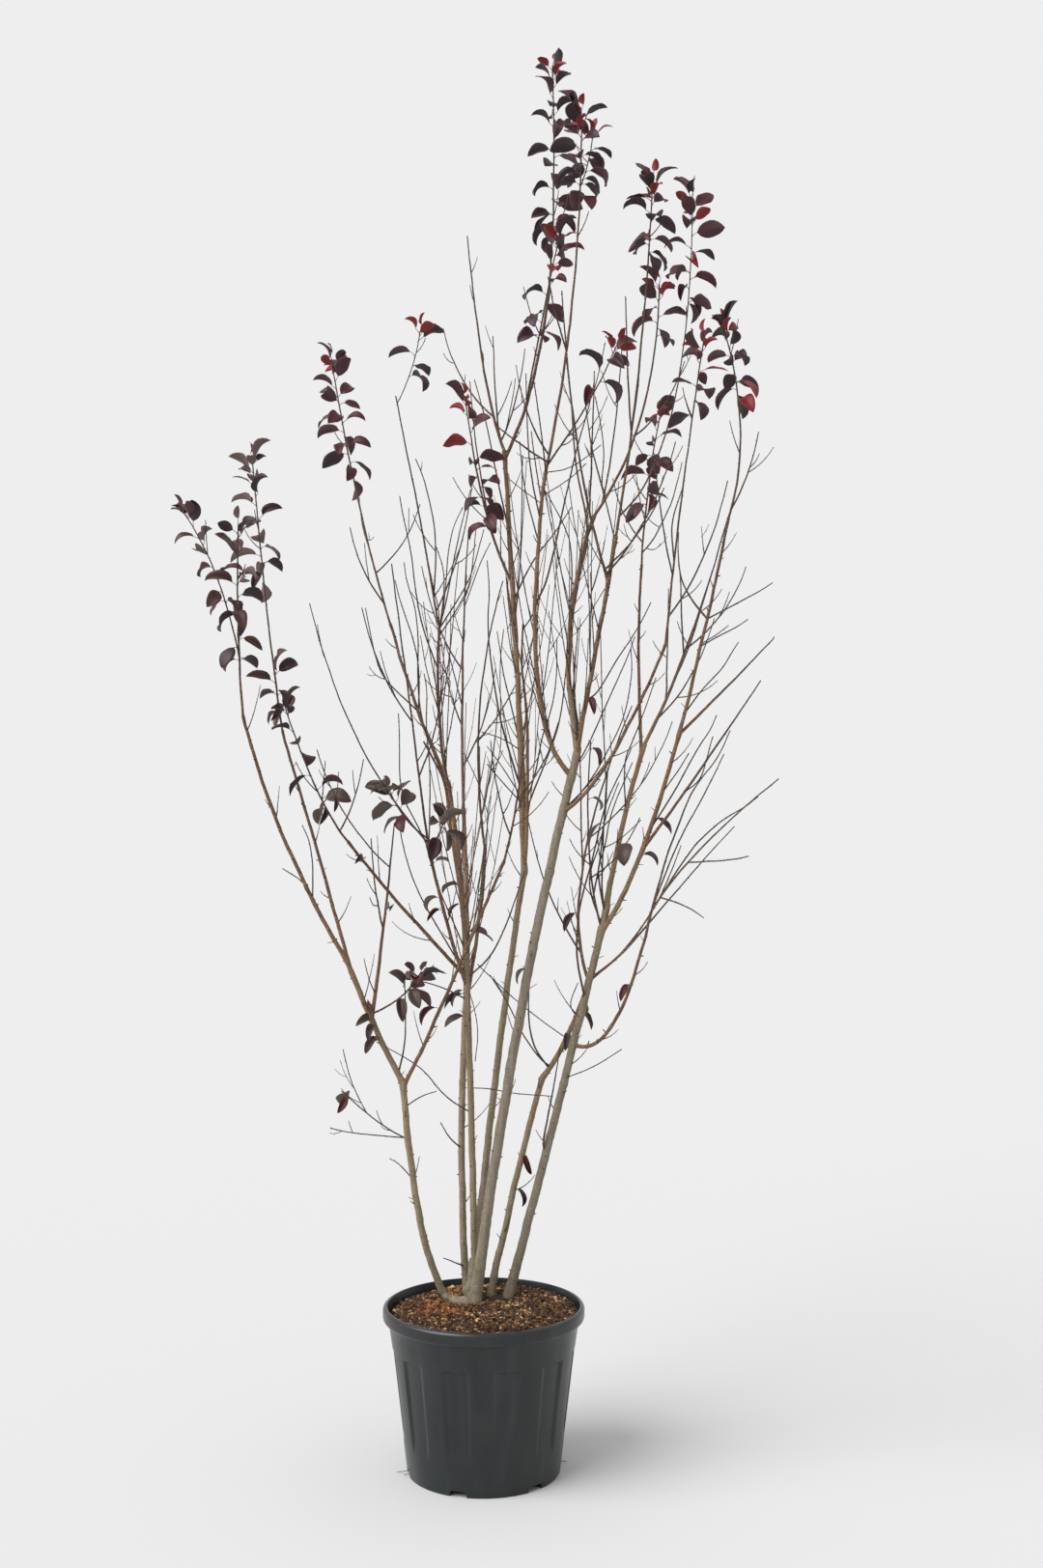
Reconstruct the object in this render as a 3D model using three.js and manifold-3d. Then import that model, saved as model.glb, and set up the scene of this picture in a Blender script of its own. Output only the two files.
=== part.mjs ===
// A cherry plum grown as a shrub: seven stems from one root in a black 50-litre nursery pot,
// bare but for the leaves at its shoot tips. Millimetres, +Z up. The origin is the middle of
// the pot's flat underside, +X is to the right of the front view and +Y to its back.
import * as THREE from "three";
import { mergeVertices } from "three/addons/utils/BufferGeometryUtils.js";
import Module from "manifold-3d";

const wasm = await Module();
wasm.setup();

// The pot: a tapered bucket with a rolled lip, a flared collar under it, and eleven hollow
// flutes, whose heads slope back to the collar.
const POT_HEIGHT = 400;
const LIP_RADIUS = 244;
const LIP_BOTTOM = 365;
const LIP_ROUND = 6;
const COLLAR_RADIUS = 231;
const COLLAR_BOTTOM = 302;
const WALL_TOP_RADIUS = 221;
const FOOT_RADIUS = 185;
const MOUTH_RADIUS = 233;
const MOUTH_BOTTOM = 350;
const WALL = 10;
const FLOOR = 6;
const FLUTES = 11;
const STATIONS_PER_FLUTE = 4;
const FLUTE_DEPTH = 5;
const FLUTE_HEAD = 5;
const FLUTE_BOTTOM = 70;
const FLUTE_FADE = 45;
const NOTCHES = 6;
const NOTCH_HEIGHT = 8;
const NOTCH_WIDTH = 38;
const NOTCH_DEPTH = 14;
const NOTCH_TURN = -18;

// The bark mulch fills the pot to a low mound. The stems' curves start this far under it.
const GROUND = 392;
const MOUND_RADIUS = 160;
const GROUND_EDGE = 380;
const BURIED = 20;

// Two pieces that meet keep this much air between them.
const GAP = 0.3;

// A shoot keeps this far from the limbs and shoots of other nodes. Rows of beads this far
// apart stand for both. A limb is cut clear of those that pass this near its root.
const CLEAR = 3;
const BEAD_STEP = 7;
const ROOT_REACH = 45;

// A stem flares by this share of its girth at the foot, and the flare dies away along this.
const FLARE_SHARE = 0.4;
const FLARE_LENGTH = 45;

// The usual longest twig, the girth of thin shoots, and how far twigs lean from their shoot.
// A long shoot covers these shares of its way across, back and up at its pull. A twig goes on
// straight for these shares of its length, and then rises by a share.
const TWIG_REACH = 130;
const WHIP_RADIUS = 2.6;
const TWIG_RADIUS = 1.6;
const BUD_RADIUS = 1;
const TWIG_LEAN = 0.6;
const WHIP_SLANT = [0.7, 0.7, 0.38];
const TWIG_PULL = 0.5;
const TWIG_RUN = 0.8;
const TWIG_RISE = 0.3;

// A leaf with its stalk. Leaves stand out more at the foot of a leafy shoot than at its end,
// and droop, and each turns on from the last by the golden angle, as twigs do. A leaf that has
// no room there tries these turns, and its root is sunk by this share of the shoot's radius.
const LEAF = { length: 62, width: 31, thickness: 1.2 };
const LOW_LEAF_LEAN = 1.25;
const TOP_LEAF_LEAN = 0.45;
const LEAF_DROOP = 0.35;
const LEAF_TURNS = [0, 1.3, 2.6, 3.9];
const LEAF_SINK = 0.3;
const GOLDEN_ANGLE = 2.39996;

// Sides round, and steps along, of each kind of limb.
const STEM_MESH = [7, 9];
const BOUGH_MESH = [5, 6];
const LEADER_MESH = [3, 5];
const WHIP_MESH = [3, 3];
const TWIG_MESH = [3, 2];
const RING_CROWDING = 1.3;

const BARK = { color: 0x8b8070, roughness: 0.8, metalness: 0 };
const YOUNG_BARK = { color: 0x7a5a48, roughness: 0.7, metalness: 0 };
const LEAF_PURPLE = { color: 0x4a2428, roughness: 0.55, metalness: 0 };
const BLACK_PLASTIC = { color: 0x2b3033, roughness: 0.5, metalness: 0 };
const MULCH = { color: 0x4a3226, roughness: 1, metalness: 0 };

const plant = new THREE.Group();
const vector = (p) => new THREE.Vector3(...p);

function solidOf(geometry) {
  geometry.deleteAttribute("normal");
  geometry.deleteAttribute("uv");
  const merged = mergeVertices(geometry, 1e-3);
  const corners = merged.index.array;
  const kept = [];
  for (let i = 0; i < corners.length; i += 3) {
    const [a, b, c] = corners.slice(i, i + 3);
    if (a !== b && b !== c && c !== a) kept.push(a, b, c);
  }
  return new wasm.Manifold(
    new wasm.Mesh({
      numProp: 3,
      vertProperties: merged.attributes.position.array,
      triVerts: new Uint32Array(kept),
    }),
  );
}

function largestPiece(solid) {
  return solid.decompose().sort((a, b) => b.volume() - a.volume())[0];
}

function addNode(name, solid, finish) {
  const { vertProperties, triVerts } = solid.getMesh();
  const geometry = new THREE.BufferGeometry();
  geometry.setAttribute("position", new THREE.BufferAttribute(vertProperties, 3));
  geometry.setIndex(new THREE.BufferAttribute(triVerts, 1));
  geometry.computeVertexNormals();
  const mesh = new THREE.Mesh(geometry, new THREE.MeshStandardMaterial(finish));
  mesh.name = name;
  plant.add(mesh);
}

// A turned solid from its profile of [radius, height] pairs, axis to axis. Its first station is
// at the front.
function turned(profile, segments) {
  const points = profile.map(([radius, height]) => new THREE.Vector2(radius, height));
  return new THREE.LatheGeometry(points, segments).rotateX(Math.PI / 2);
}

function wallAt(height) {
  return FOOT_RADIUS + ((WALL_TOP_RADIUS - FOOT_RADIUS) * height) / COLLAR_BOTTOM;
}

function mouthAt(height) {
  return MOUTH_RADIUS - (WALL * (POT_HEIGHT - height)) / (POT_HEIGHT - MOUTH_BOTTOM);
}

// Turns the pot and the mulch together, so that two flutes flank the front.
function facing(geometry) {
  return geometry.rotateZ(Math.PI / (FLUTES * STATIONS_PER_FLUTE));
}

function pot() {
  const shell = turned(
    [
      [0, 0],
      [FOOT_RADIUS, 0],
      [wallAt(FLUTE_BOTTOM), FLUTE_BOTTOM],
      [wallAt(FLUTE_BOTTOM + FLUTE_FADE), FLUTE_BOTTOM + FLUTE_FADE],
      [wallAt(COLLAR_BOTTOM - FLUTE_HEAD), COLLAR_BOTTOM - FLUTE_HEAD],
      [WALL_TOP_RADIUS, COLLAR_BOTTOM],
      [COLLAR_RADIUS, LIP_BOTTOM],
      [LIP_RADIUS - LIP_ROUND / 3, LIP_BOTTOM],
      [LIP_RADIUS, POT_HEIGHT - LIP_ROUND],
      [LIP_RADIUS - LIP_ROUND, POT_HEIGHT],
      [MOUTH_RADIUS, POT_HEIGHT],
      [mouthAt(MOUTH_BOTTOM), MOUTH_BOTTOM],
      [WALL_TOP_RADIUS - WALL, COLLAR_BOTTOM],
      [FOOT_RADIUS - WALL, FLOOR],
      [0, FLOOR],
    ],
    FLUTES * STATIONS_PER_FLUTE,
  );
  const place = shell.getAttribute("position");
  for (let i = 0; i < place.count; i++) {
    const height = place.getZ(i);
    if (height < FLUTE_BOTTOM + GAP || height > COLLAR_BOTTOM - GAP) continue;
    const radius = Math.hypot(place.getX(i), place.getY(i));
    const turn = Math.atan2(place.getX(i), -place.getY(i)) / (2 * Math.PI) + 1;
    const station = Math.round(turn * FLUTES * STATIONS_PER_FLUTE) % STATIONS_PER_FLUTE;
    if (station === 0 || station === 3) continue;
    const sunk = (radius - FLUTE_DEPTH) / radius;
    place.setXY(i, place.getX(i) * sunk, place.getY(i) * sunk);
  }
  let solid = solidOf(facing(shell));
  for (let k = 0; k < NOTCHES; k++) {
    const turn = THREE.MathUtils.degToRad(NOTCH_TURN - 90 + (360 / NOTCHES) * k);
    const block = new THREE.BoxGeometry(NOTCH_DEPTH, NOTCH_WIDTH, 2 * NOTCH_HEIGHT);
    block.translate(FOOT_RADIUS, 0, 0);
    block.rotateZ(turn);
    solid = solid.subtract(solidOf(block));
  }
  return solid;
}

function mulch() {
  const heap = turned(
    [
      [0, FLOOR + GAP],
      [FOOT_RADIUS - WALL - GAP, FLOOR + GAP],
      [WALL_TOP_RADIUS - WALL - GAP, COLLAR_BOTTOM],
      [mouthAt(MOUTH_BOTTOM) - GAP, MOUTH_BOTTOM],
      [mouthAt(GROUND_EDGE) - GAP, GROUND_EDGE],
      [MOUND_RADIUS, GROUND],
      [0, GROUND],
    ],
    2 * FLUTES,
  );
  return solidOf(facing(heap));
}

// A limb bends once, towards its pull, on the way from its root to its tip. Its girth tapers,
// and a stem flares at its foot.
function limb(root, pull, tip, thick, thin, flare = 0) {
  const curve = new THREE.QuadraticBezierCurve3(root, pull, tip);
  const across = pull.clone().sub(root).cross(tip.clone().sub(root));
  if (across.length() < 1) across.crossVectors(tip.clone().sub(root), vector([0, 1, 0.1]));
  across.normalize();
  const length = root.distanceTo(pull) + pull.distanceTo(tip);
  const radius = (t) => thick + (thin - thick) * t + flare * Math.exp((-t * length) / FLARE_LENGTH);
  return { curve, across, radius, length };
}

// The limb as a closed cylinder bent along its curve, with its rings closer near the root.
// A pointed one ends as a cone does, in a bud; a shoot with leaves to its end stays blunt.
function bentTube({ curve, across, radius }, sides, steps, { swell = 0, pointed = false } = {}) {
  const tube = new THREE.CylinderGeometry(1, 1, 1, sides, steps);
  const place = tube.getAttribute("position");
  for (let i = 0; i < place.count; i++) {
    const t = Math.pow(place.getY(i) + 0.5, RING_CROWDING);
    const centre = curve.getPoint(t);
    const along = curve.getTangent(t);
    const outward = across.clone().cross(along);
    const wide = pointed && t === 1 ? 0 : radius(t) + swell;
    if (t === 0) centre.addScaledVector(along, -swell);
    if (t === 1) centre.addScaledVector(along, swell);
    centre.addScaledVector(outward, place.getX(i) * wide);
    centre.addScaledVector(across, -place.getZ(i) * wide);
    place.setXYZ(i, centre.x, centre.y, centre.z);
  }
  return solidOf(tube);
}

// Where a limb passes a height.
function stationAt({ curve }, height) {
  let low = 0;
  let high = 1;
  for (let k = 0; k < 30; k++) {
    const middle = (low + high) / 2;
    if (curve.getPoint(middle).z < height) low = middle;
    else high = middle;
  }
  return low;
}

// Every finished limb and shoot is remembered as a row of beads, so that a new shoot can keep
// clear of those of other nodes, and each limb as a slightly swollen tube to cut others by.
const beads = [];
const limbs = new Map();
const keepOuts = [];

function beadsOf({ curve, radius, length }) {
  const count = Math.max(2, Math.ceil(length / BEAD_STEP));
  return Array.from({ length: count + 1 }, (_, k) => ({
    at: curve.getPoint(k / count),
    radius: radius(k / count),
  }));
}

function isClear(row, owner) {
  return row.every((bead) =>
    beads.every(
      (other) =>
        other.owner === owner ||
        bead.at.distanceTo(other.at) > bead.radius + other.radius + CLEAR,
    ),
  );
}

function remember(row, owner) {
  for (const bead of row) beads.push({ ...bead, owner });
}

// Cuts a new solid clear of the limbs that its root springs from or between.
function cutClear(solid, root) {
  for (const { tube, box } of keepOuts) {
    if (box.distanceToPoint(root) < ROOT_REACH) solid = solid.subtract(tube);
  }
  return largestPiece(solid);
}

function keepOut(piece, sides, steps) {
  const tube = bentTube(piece, sides, steps, { swell: GAP / Math.cos(Math.PI / sides) + 0.05 });
  const points = piece.curve.getPoints(12);
  const box = new THREE.Box3().setFromPoints(points);
  keepOuts.push({ tube, box });
}

// Stems: foot across and back, pull, tip, and the radius at foot and tip.
const STEMS = {
  stem_1: [[-60, 55], [-160, 40, 425], [-195, -25, 939], 8, 7],
  stem_5: [[-24, 48], [64, 40, 1080], [229, 20, 1745], 12, 9],
  stem_3: [[-24, 92], [-28, 70, 800], [-45, 60, 1205], 7.5, 7],
  stem_2: [[-44, 118], [-72, 140, 740], [-47, 175, 1130], 8, 7],
  stem_4: [[-35, 150], [44, 155, 1127], [98, 150, 1443], 8.5, 6.5],
  stem_6: [[10, 108], [66, 142, 640], [144, 160, 922], 7.5, 6.5],
  stem_7: [[54, 104], [190, 100, 880], [302, 100, 1349], 10, 8],
};

// Boughs: the limb that carries it, the height where it leaves it ("tip" for its end), pull,
// tip, and the radius at root and tip.
const BOUGHS = {
  bough_1_left: ["stem_1", "tip", [-258, -50, 1060], [-326, -80, 1244], 6.5, 5.5],
  bough_1_right: ["stem_1", 925, [-110, -70, 1100], [50, -70, 1476], 4.5, 3.2],
  bough_1_outer: ["bough_1_left", "tip", [-480, -130, 1500], [-559, -160, 1820], 4.6, 3.2],
  bough_1_inner: ["bough_1_left", 1205, [-380, -10, 1415], [-491, 20, 1791], 4.2, 2.8],
  bough_2_main: ["stem_2", "tip", [-45, 200, 1370], [-57, 240, 1597], 6.5, 4.5],
  bough_2_right: ["stem_2", 1095, [-15, 225, 1290], [-2, 265, 1490], 5, 3.5],
  bough_3_main: ["stem_3", "tip", [-52, 55, 1440], [-88, 60, 1660], 6.5, 4.6],
  bough_3_left: ["stem_3", 1185, [-190, 0, 1345], [-324, -60, 1523], 4.2, 3],
  bough_3_inner: ["stem_3", 1160, [-95, -10, 1330], [-131, -45, 1502], 4.2, 3.2],
  bough_3_tall: ["bough_3_main", "tip", [-170, 105, 1830], [-238, 150, 2062], 4.2, 3],
  bough_3_kinked: ["bough_3_main", 1630, [-125, 0, 1830], [-106, -40, 2033], 3.8, 2.8],
  bough_4_leader: ["stem_4", "tip", [88, 160, 1880], [48, 170, 2499], 6.3, 4.3],
  bough_4_top: ["bough_4_leader", 2480, [125, 140, 2620], [160, 110, 2886], 3.6, 2.8],
  bough_5_left: ["stem_5", 1680, [76, -10, 1800], [149, -60, 2405], 5.6, 4],
  bough_5_mid: ["stem_5", "tip", [168, 60, 2040], [271, 80, 2322], 6, 4],
  bough_5_right: ["stem_5", 1722, [265, -30, 1950], [317, -60, 2252], 5, 3.6],
  bough_5_outer: ["stem_5", 1592, [295, -50, 1650], [430, -130, 1989], 4.5, 3],
  bough_6_bend: ["stem_6", "tip", [205, 172, 1000], [262, 190, 1160], 6.2, 4.8],
  bough_7_main: ["stem_7", "tip", [330, 125, 1540], [400, 150, 1760], 6.5, 5],
  bough_7_up: ["bough_7_main", 1735, [380, 185, 1960], [396, 200, 2217], 4, 2.8],
  bough_7_right: ["stem_7", 1290, [390, 60, 1445], [474, 20, 1780], 6, 4.5],
  bough_7_right_up: ["bough_7_right", "tip", [535, 0, 2010], [591, -20, 2303], 4.2, 3],
  bough_7_hook: ["stem_7", 1015, [322, 0, 978], [401, -60, 1354], 4.5, 3],
};

// Masses. leader: its pull and tip. thick: the radius at its root. leaves: rows of how far
// along the shoot they start and end, and how many. whips: how far along the leader each long
// shoot starts, its tip, its number of leaves, the share of it that is bare below them and,
// where it doesn't rise as most do, its own pull.
// twigs and reach: how many short seeded twigs the shoots carry, and how long the longest is.
const MASSES = {
  foliage_1_outer: {
    on: ["bough_1_outer", "tip"],
    leader: [[-572, -180, 2010], [-556, -250, 2250]],
    leaves: [[0.3, 1, 11]],
    whips: [[0.33, [-690, -200, 2288], 10, 0.25, [-598, -190, 2150]]],
  },
  foliage_1_inner: {
    on: ["bough_1_inner", "tip"],
    leader: [[-535, 35, 2080], [-570, 60, 2460]],
    leaves: [
      [0.06, 0.24, 5],
      [0.55, 1, 13],
    ],
    whips: [],
    twigs: 2,
  },
  spray_1_mid: {
    on: ["bough_1_left", 1095],
    leader: [[-235, -100, 1300], [-206, -150, 1569]],
    whips: [
      [0.04, [-150, -150, 1210], 7],
      [0.8, [-383, -190, 1740], 1],
      [0.5, [-240, -400, 1540], 0],
    ],
    twigs: 4,
  },
  spray_1_low: {
    on: ["stem_1", 800],
    leader: [[-270, 30, 835], [-351, 60, 905]],
    thick: 2,
    leaves: [[0.9, 1, 1]],
    whips: [
      [0.6, [-352, 110, 1000], 0],
      [0.05, [-366, -60, 838], 0],
    ],
    twigs: 3,
    reach: 60,
  },
  twigs_1_right: {
    on: ["bough_1_right", "tip"],
    leader: [[90, -95, 1620], [104, -150, 1850]],
    whips: [
      [0.2, [20, -210, 1760], 0],
      [0.45, [175, -250, 1800], 0],
    ],
    twigs: 4,
  },
  twigs_2_back: {
    on: ["bough_2_main", "tip"],
    leader: [[-70, 300, 1950], [-47, 340, 2323]],
    whips: [
      [0.3, [-130, 560, 2060], 0],
      [0.15, [20, 600, 1980], 0],
      [0.5, [-170, 350, 2230], 0],
    ],
    twigs: 4,
  },
  twigs_2_right: {
    on: ["bough_2_right", "tip"],
    leader: [[-55, 300, 1850], [43, 300, 2186]],
    whips: [
      [0.12, [31, 230, 1863], 0],
      [0.15, [-20, 430, 1760], 0],
      [0.4, [130, 420, 2080], 0],
    ],
    twigs: 4,
  },
  foliage_3_left: {
    on: ["bough_3_left", "tip"],
    leader: [[-400, -80, 1620], [-466, -120, 1841]],
    leaves: [[0.3, 1, 8]],
    whips: [[0.12, [-290, -20, 1720], 0]],
    twigs: 3,
  },
  foliage_3_tall: {
    on: ["bough_3_tall", "tip"],
    leader: [[-335, 195, 2380], [-393, 230, 2744]],
    leaves: [[0.55, 1, 15]],
    whips: [
      [0.2, [-170, 270, 2380], 0],
      [0.08, [-330, 60, 2290], 0],
      [0.3, [-350, 500, 2450], 0],
    ],
    twigs: 4,
  },
  foliage_3_kinked: {
    on: ["bough_3_kinked", "tip"],
    leader: [[-150, -60, 2300], [-206, -110, 2577]],
    whips: [
      [0.97, [-148, -120, 2726], 4, 0.35],
      [0.15, [-166, 10, 2450], 0, 0, [-97, -20, 2290]],
      [0.08, [-26, -90, 2366], 0],
    ],
    twigs: 4,
  },
  foliage_3_inner: {
    on: ["bough_3_inner", "tip"],
    leader: [[-165, -90, 1780], [-212, -160, 2174]],
    whips: [
      [0.03, [-407, -130, 2085], 0],
      [0.5, [-262, -380, 2050], 0],
      [0.05, [-215, -150, 1640], 7],
      [0.0, [-90, -190, 1570], 5],
      [0.3, [-80, -370, 1900], 0],
    ],
    twigs: 4,
  },
  foliage_4_left: {
    on: ["bough_4_leader", 2165],
    leader: [[-5, 130, 2290], [-48, 110, 2613]],
    leaves: [[0.4, 1, 12]],
    whips: [[0.3, [-40, 220, 2685], 0]],
    twigs: 3,
  },
  twigs_4_bare: {
    on: ["bough_4_leader", "tip"],
    leader: [[-8, 185, 2640], [-46, 195, 3047]],
    whips: [
      [0.1, [20, 130, 2778], 0],
      [0.08, [100, 270, 2780], 0],
      [0.25, [-115, 380, 2860], 0],
    ],
    twigs: 4,
  },
  foliage_4_top: {
    on: ["bough_4_top", "tip"],
    leader: [[178, 105, 3120], [168, 100, 3440]],
    leaves: [[0.22, 1, 22]],
    whips: [],
    twigs: 2,
  },
  foliage_4_mid: {
    on: ["bough_4_top", 2610],
    leader: [[135, 20, 2760], [184, 10, 3000]],
    leaves: [[0.4, 1, 12]],
    whips: [],
    twigs: 2,
  },
  foliage_5_tall: {
    on: ["bough_5_left", "tip"],
    leader: [[235, -75, 2810], [233, -100, 3253]],
    leaves: [[0.76, 1, 13]],
    whips: [
      [0.8, [262, -50, 3215], 5, 0.3],
      [0.05, [85, -160, 2600], 0],
      [0.02, [311, -190, 2675], 5, 0.6, [250, -150, 2540]],
      [0.03, [40, -380, 2450], 0],
      [0.35, [150, -390, 2780], 0],
    ],
    twigs: 4,
  },
  foliage_5_mid: {
    on: ["bough_5_mid", "tip"],
    leader: [[425, 55, 2540], [428, 40, 2883]],
    leaves: [[0.8, 1, 8]],
    whips: [
      [0.06, [345, 150, 2781], 0],
      [0.1, [250, 180, 2640], 0],
      [0.4, [500, 150, 2720], 0],
    ],
    twigs: 4,
  },
  foliage_5_right: {
    on: ["bough_5_right", "tip"],
    leader: [[385, -90, 2650], [400, -120, 3089]],
    leaves: [[0.78, 1, 13]],
    whips: [
      [0.06, [502, -40, 3076], 13, 0.76, [497, -50, 2450]],
      [0.3, [330, -230, 2780], 0],
    ],
    twigs: 4,
  },
  twigs_5_right: {
    on: ["bough_5_right", 2148],
    leader: [[212, -130, 2390], [185, -180, 2806]],
    whips: [
      [0.03, [450, -170, 2458], 0],
      [0.05, [405, -400, 2312], 0],
      [0.3, [250, -440, 2560], 0],
    ],
    twigs: 4,
  },
  foliage_5_outer: {
    on: ["bough_5_outer", "tip"],
    leader: [[455, -180, 2300], [511, -220, 2685]],
    leaves: [[0.76, 1, 8]],
    whips: [
      [0.1, [560, -270, 2350], 0],
      [0.25, [380, -450, 2380], 0],
    ],
    twigs: 4,
  },
  twigs_6_back: {
    on: ["bough_6_bend", "tip"],
    leader: [[175, 240, 1380], [378, 310, 1863]],
    whips: [
      [0.5, [250, 560, 1880], 0],
      [0.6, [500, 520, 1830], 0],
      [0.8, [300, 400, 2080], 0],
      [0.15, [110, 330, 1560], 0],
    ],
    twigs: 4,
  },
  foliage_7_red: {
    on: ["bough_7_up", "tip"],
    leader: [[405, 215, 2400], [445, 240, 2601]],
    leaves: [[0.4, 1, 10]],
    whips: [
      [0.08, [520, 450, 2520], 0],
      [0.15, [330, 350, 2460], 0],
    ],
    twigs: 4,
  },
  twigs_7_dark: {
    on: ["bough_7_main", "tip"],
    leader: [[510, 210, 1960], [620, 270, 2338]],
    whips: [
      [0.25, [490, 520, 2190], 0],
      [0.5, [680, 360, 2230], 0],
      [0.15, [580, 200, 2080], 0],
    ],
    twigs: 5,
  },
  foliage_7_right: {
    on: ["bough_7_right_up", "tip"],
    leader: [[655, -10, 2500], [584, 30, 2780]],
    leaves: [[0.62, 1, 12]],
    whips: [[0.05, [650, -120, 2490], 0]],
    twigs: 4,
  },
  twigs_7_fan_low: {
    on: ["bough_7_hook", "tip"],
    leader: [[480, -120, 1500], [686, -200, 1672]],
    whips: [
      [0.12, [518, -150, 1346], 0],
      [0.4, [595, -370, 1500], 0],
      [0.55, [597, -120, 1570], 0],
      [0.7, [631, -300, 1631], 0],
    ],
    twigs: 6,
  },
  twigs_7_fan_mid: {
    on: ["bough_7_right", 1500],
    leader: [[520, -60, 1690], [655, -120, 1904]],
    whips: [
      [0.3, [563, -230, 1728], 0],
      [0.45, [600, -50, 1788], 0],
      [0.6, [560, -190, 1930], 0],
    ],
    twigs: 6,
  },
  twigs_7_fan_high: {
    on: ["bough_7_right", "tip"],
    leader: [[580, 60, 1880], [719, 90, 2024]],
    whips: [
      [0.35, [638, 190, 2016], 0],
      [0.5, [640, -50, 2055], 0],
      [0.6, [711, 60, 2157], 0],
    ],
    twigs: 6,
  },
  twigs_7_left: {
    on: ["stem_7", 1300],
    leader: [[240, 60, 1460], [262, 70, 1764]],
    thick: 3,
    whips: [
      [0.25, [300, -20, 1700], 1],
      [0.35, [372, -90, 1580], 1],
    ],
    twigs: 4,
  },
};

function rootOn(carrier, height) {
  const parent = limbs.get(carrier);
  const station = height === "tip" ? 1 : stationAt(parent, height);
  return parent.curve.getPoint(station);
}

function stems() {
  const below = new THREE.BoxGeometry(2 * LIP_RADIUS, 2 * LIP_RADIUS, 2 * GROUND);
  const earth = solidOf(below.translate(0, 0, GAP));
  for (const [name, [foot, pull, tip, thick, thin]] of Object.entries(STEMS)) {
    const root = vector([...foot, GROUND - BURIED]);
    const piece = limb(root, vector(pull), vector(tip), thick, thin, thick * FLARE_SHARE);
    limbs.set(name, piece);
    const body = cutClear(bentTube(piece, ...STEM_MESH).subtract(earth), root);
    addNode(name, body, BARK);
    keepOut(piece, ...STEM_MESH);
    remember(beadsOf(piece), name);
  }
}

function boughs() {
  for (const [name, [carrier, height, pull, tip, thick, thin]] of Object.entries(BOUGHS)) {
    const root = rootOn(carrier, height);
    const piece = limb(root, vector(pull), vector(tip), thick, thin);
    limbs.set(name, piece);
    addNode(name, cutClear(bentTube(piece, ...BOUGH_MESH), root), YOUNG_BARK);
    keepOut(piece, ...BOUGH_MESH);
    remember(beadsOf(piece), name);
  }
}

// The same seed always gives the same run of numbers from 0 to 1.
function seeded(seed) {
  let state = seed * 7919 + 12347;
  const roll = () => {
    state = (Math.imul(state, 1664525) + 1013904223) >>> 0;
    return state / 4294967296;
  };
  roll();
  return roll;
}

// The way out from a shoot, at an angle round it and leaning from its own direction.
function wayOut(shoot, t, angle, lean) {
  const along = shoot.curve.getTangent(t);
  const side = shoot.across.clone().applyAxisAngle(along, angle);
  return along.multiplyScalar(Math.cos(lean)).addScaledVector(side, Math.sin(lean));
}

// A long shoot leaves its leader at a slant and then turns up, unless it has a pull of its own.
function whip(root, tip, thick, ownPull) {
  const slant = root.clone().add(tip.clone().sub(root).multiply(vector(WHIP_SLANT)));
  return limb(root, ownPull ? vector(ownPull) : slant, tip, thick, 1.3 * BUD_RADIUS);
}

function twig(shoot, t, angle, lean, length) {
  const root = shoot.curve.getPoint(t);
  const out = wayOut(shoot, t, angle, lean);
  const pull = root.clone().addScaledVector(out, length * TWIG_PULL);
  const tip = root.clone().addScaledVector(out, length * TWIG_RUN);
  tip.z += length * TWIG_RISE;
  return limb(root, pull, tip, Math.min(TWIG_RADIUS, shoot.radius(t) * 0.8), BUD_RADIUS);
}

// A leaf is an octahedron drawn out to a pointed blade, its root sunk in the shoot.
function leaf(shoot, t, angle, lean, size) {
  const root = shoot.curve.getPoint(t);
  const out = wayOut(shoot, t, angle, lean);
  out.z -= LEAF_DROOP;
  out.normalize();
  const across = new THREE.Vector3().crossVectors(out, vector([0.01, 0, 1])).normalize();
  const face = new THREE.Vector3().crossVectors(out, across);
  const length = LEAF.length * size;
  const middle = root.clone().addScaledVector(out, length / 2 - shoot.radius(t) * LEAF_SINK);
  const frame = new THREE.Matrix4().makeBasis(
    out.clone().multiplyScalar(length / 2),
    across.multiplyScalar((LEAF.width * size) / 2),
    face.multiplyScalar(LEAF.thickness / 2),
  );
  frame.setPosition(middle);
  const row = [0.25, 0.55, 0.85].map((share) => ({
    at: root.clone().addScaledVector(out, length * share),
    radius: (LEAF.width * size * 0.8) / 2,
  }));
  return { solid: () => solidOf(new THREE.OctahedronGeometry(1).applyMatrix4(frame)), row };
}

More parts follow.
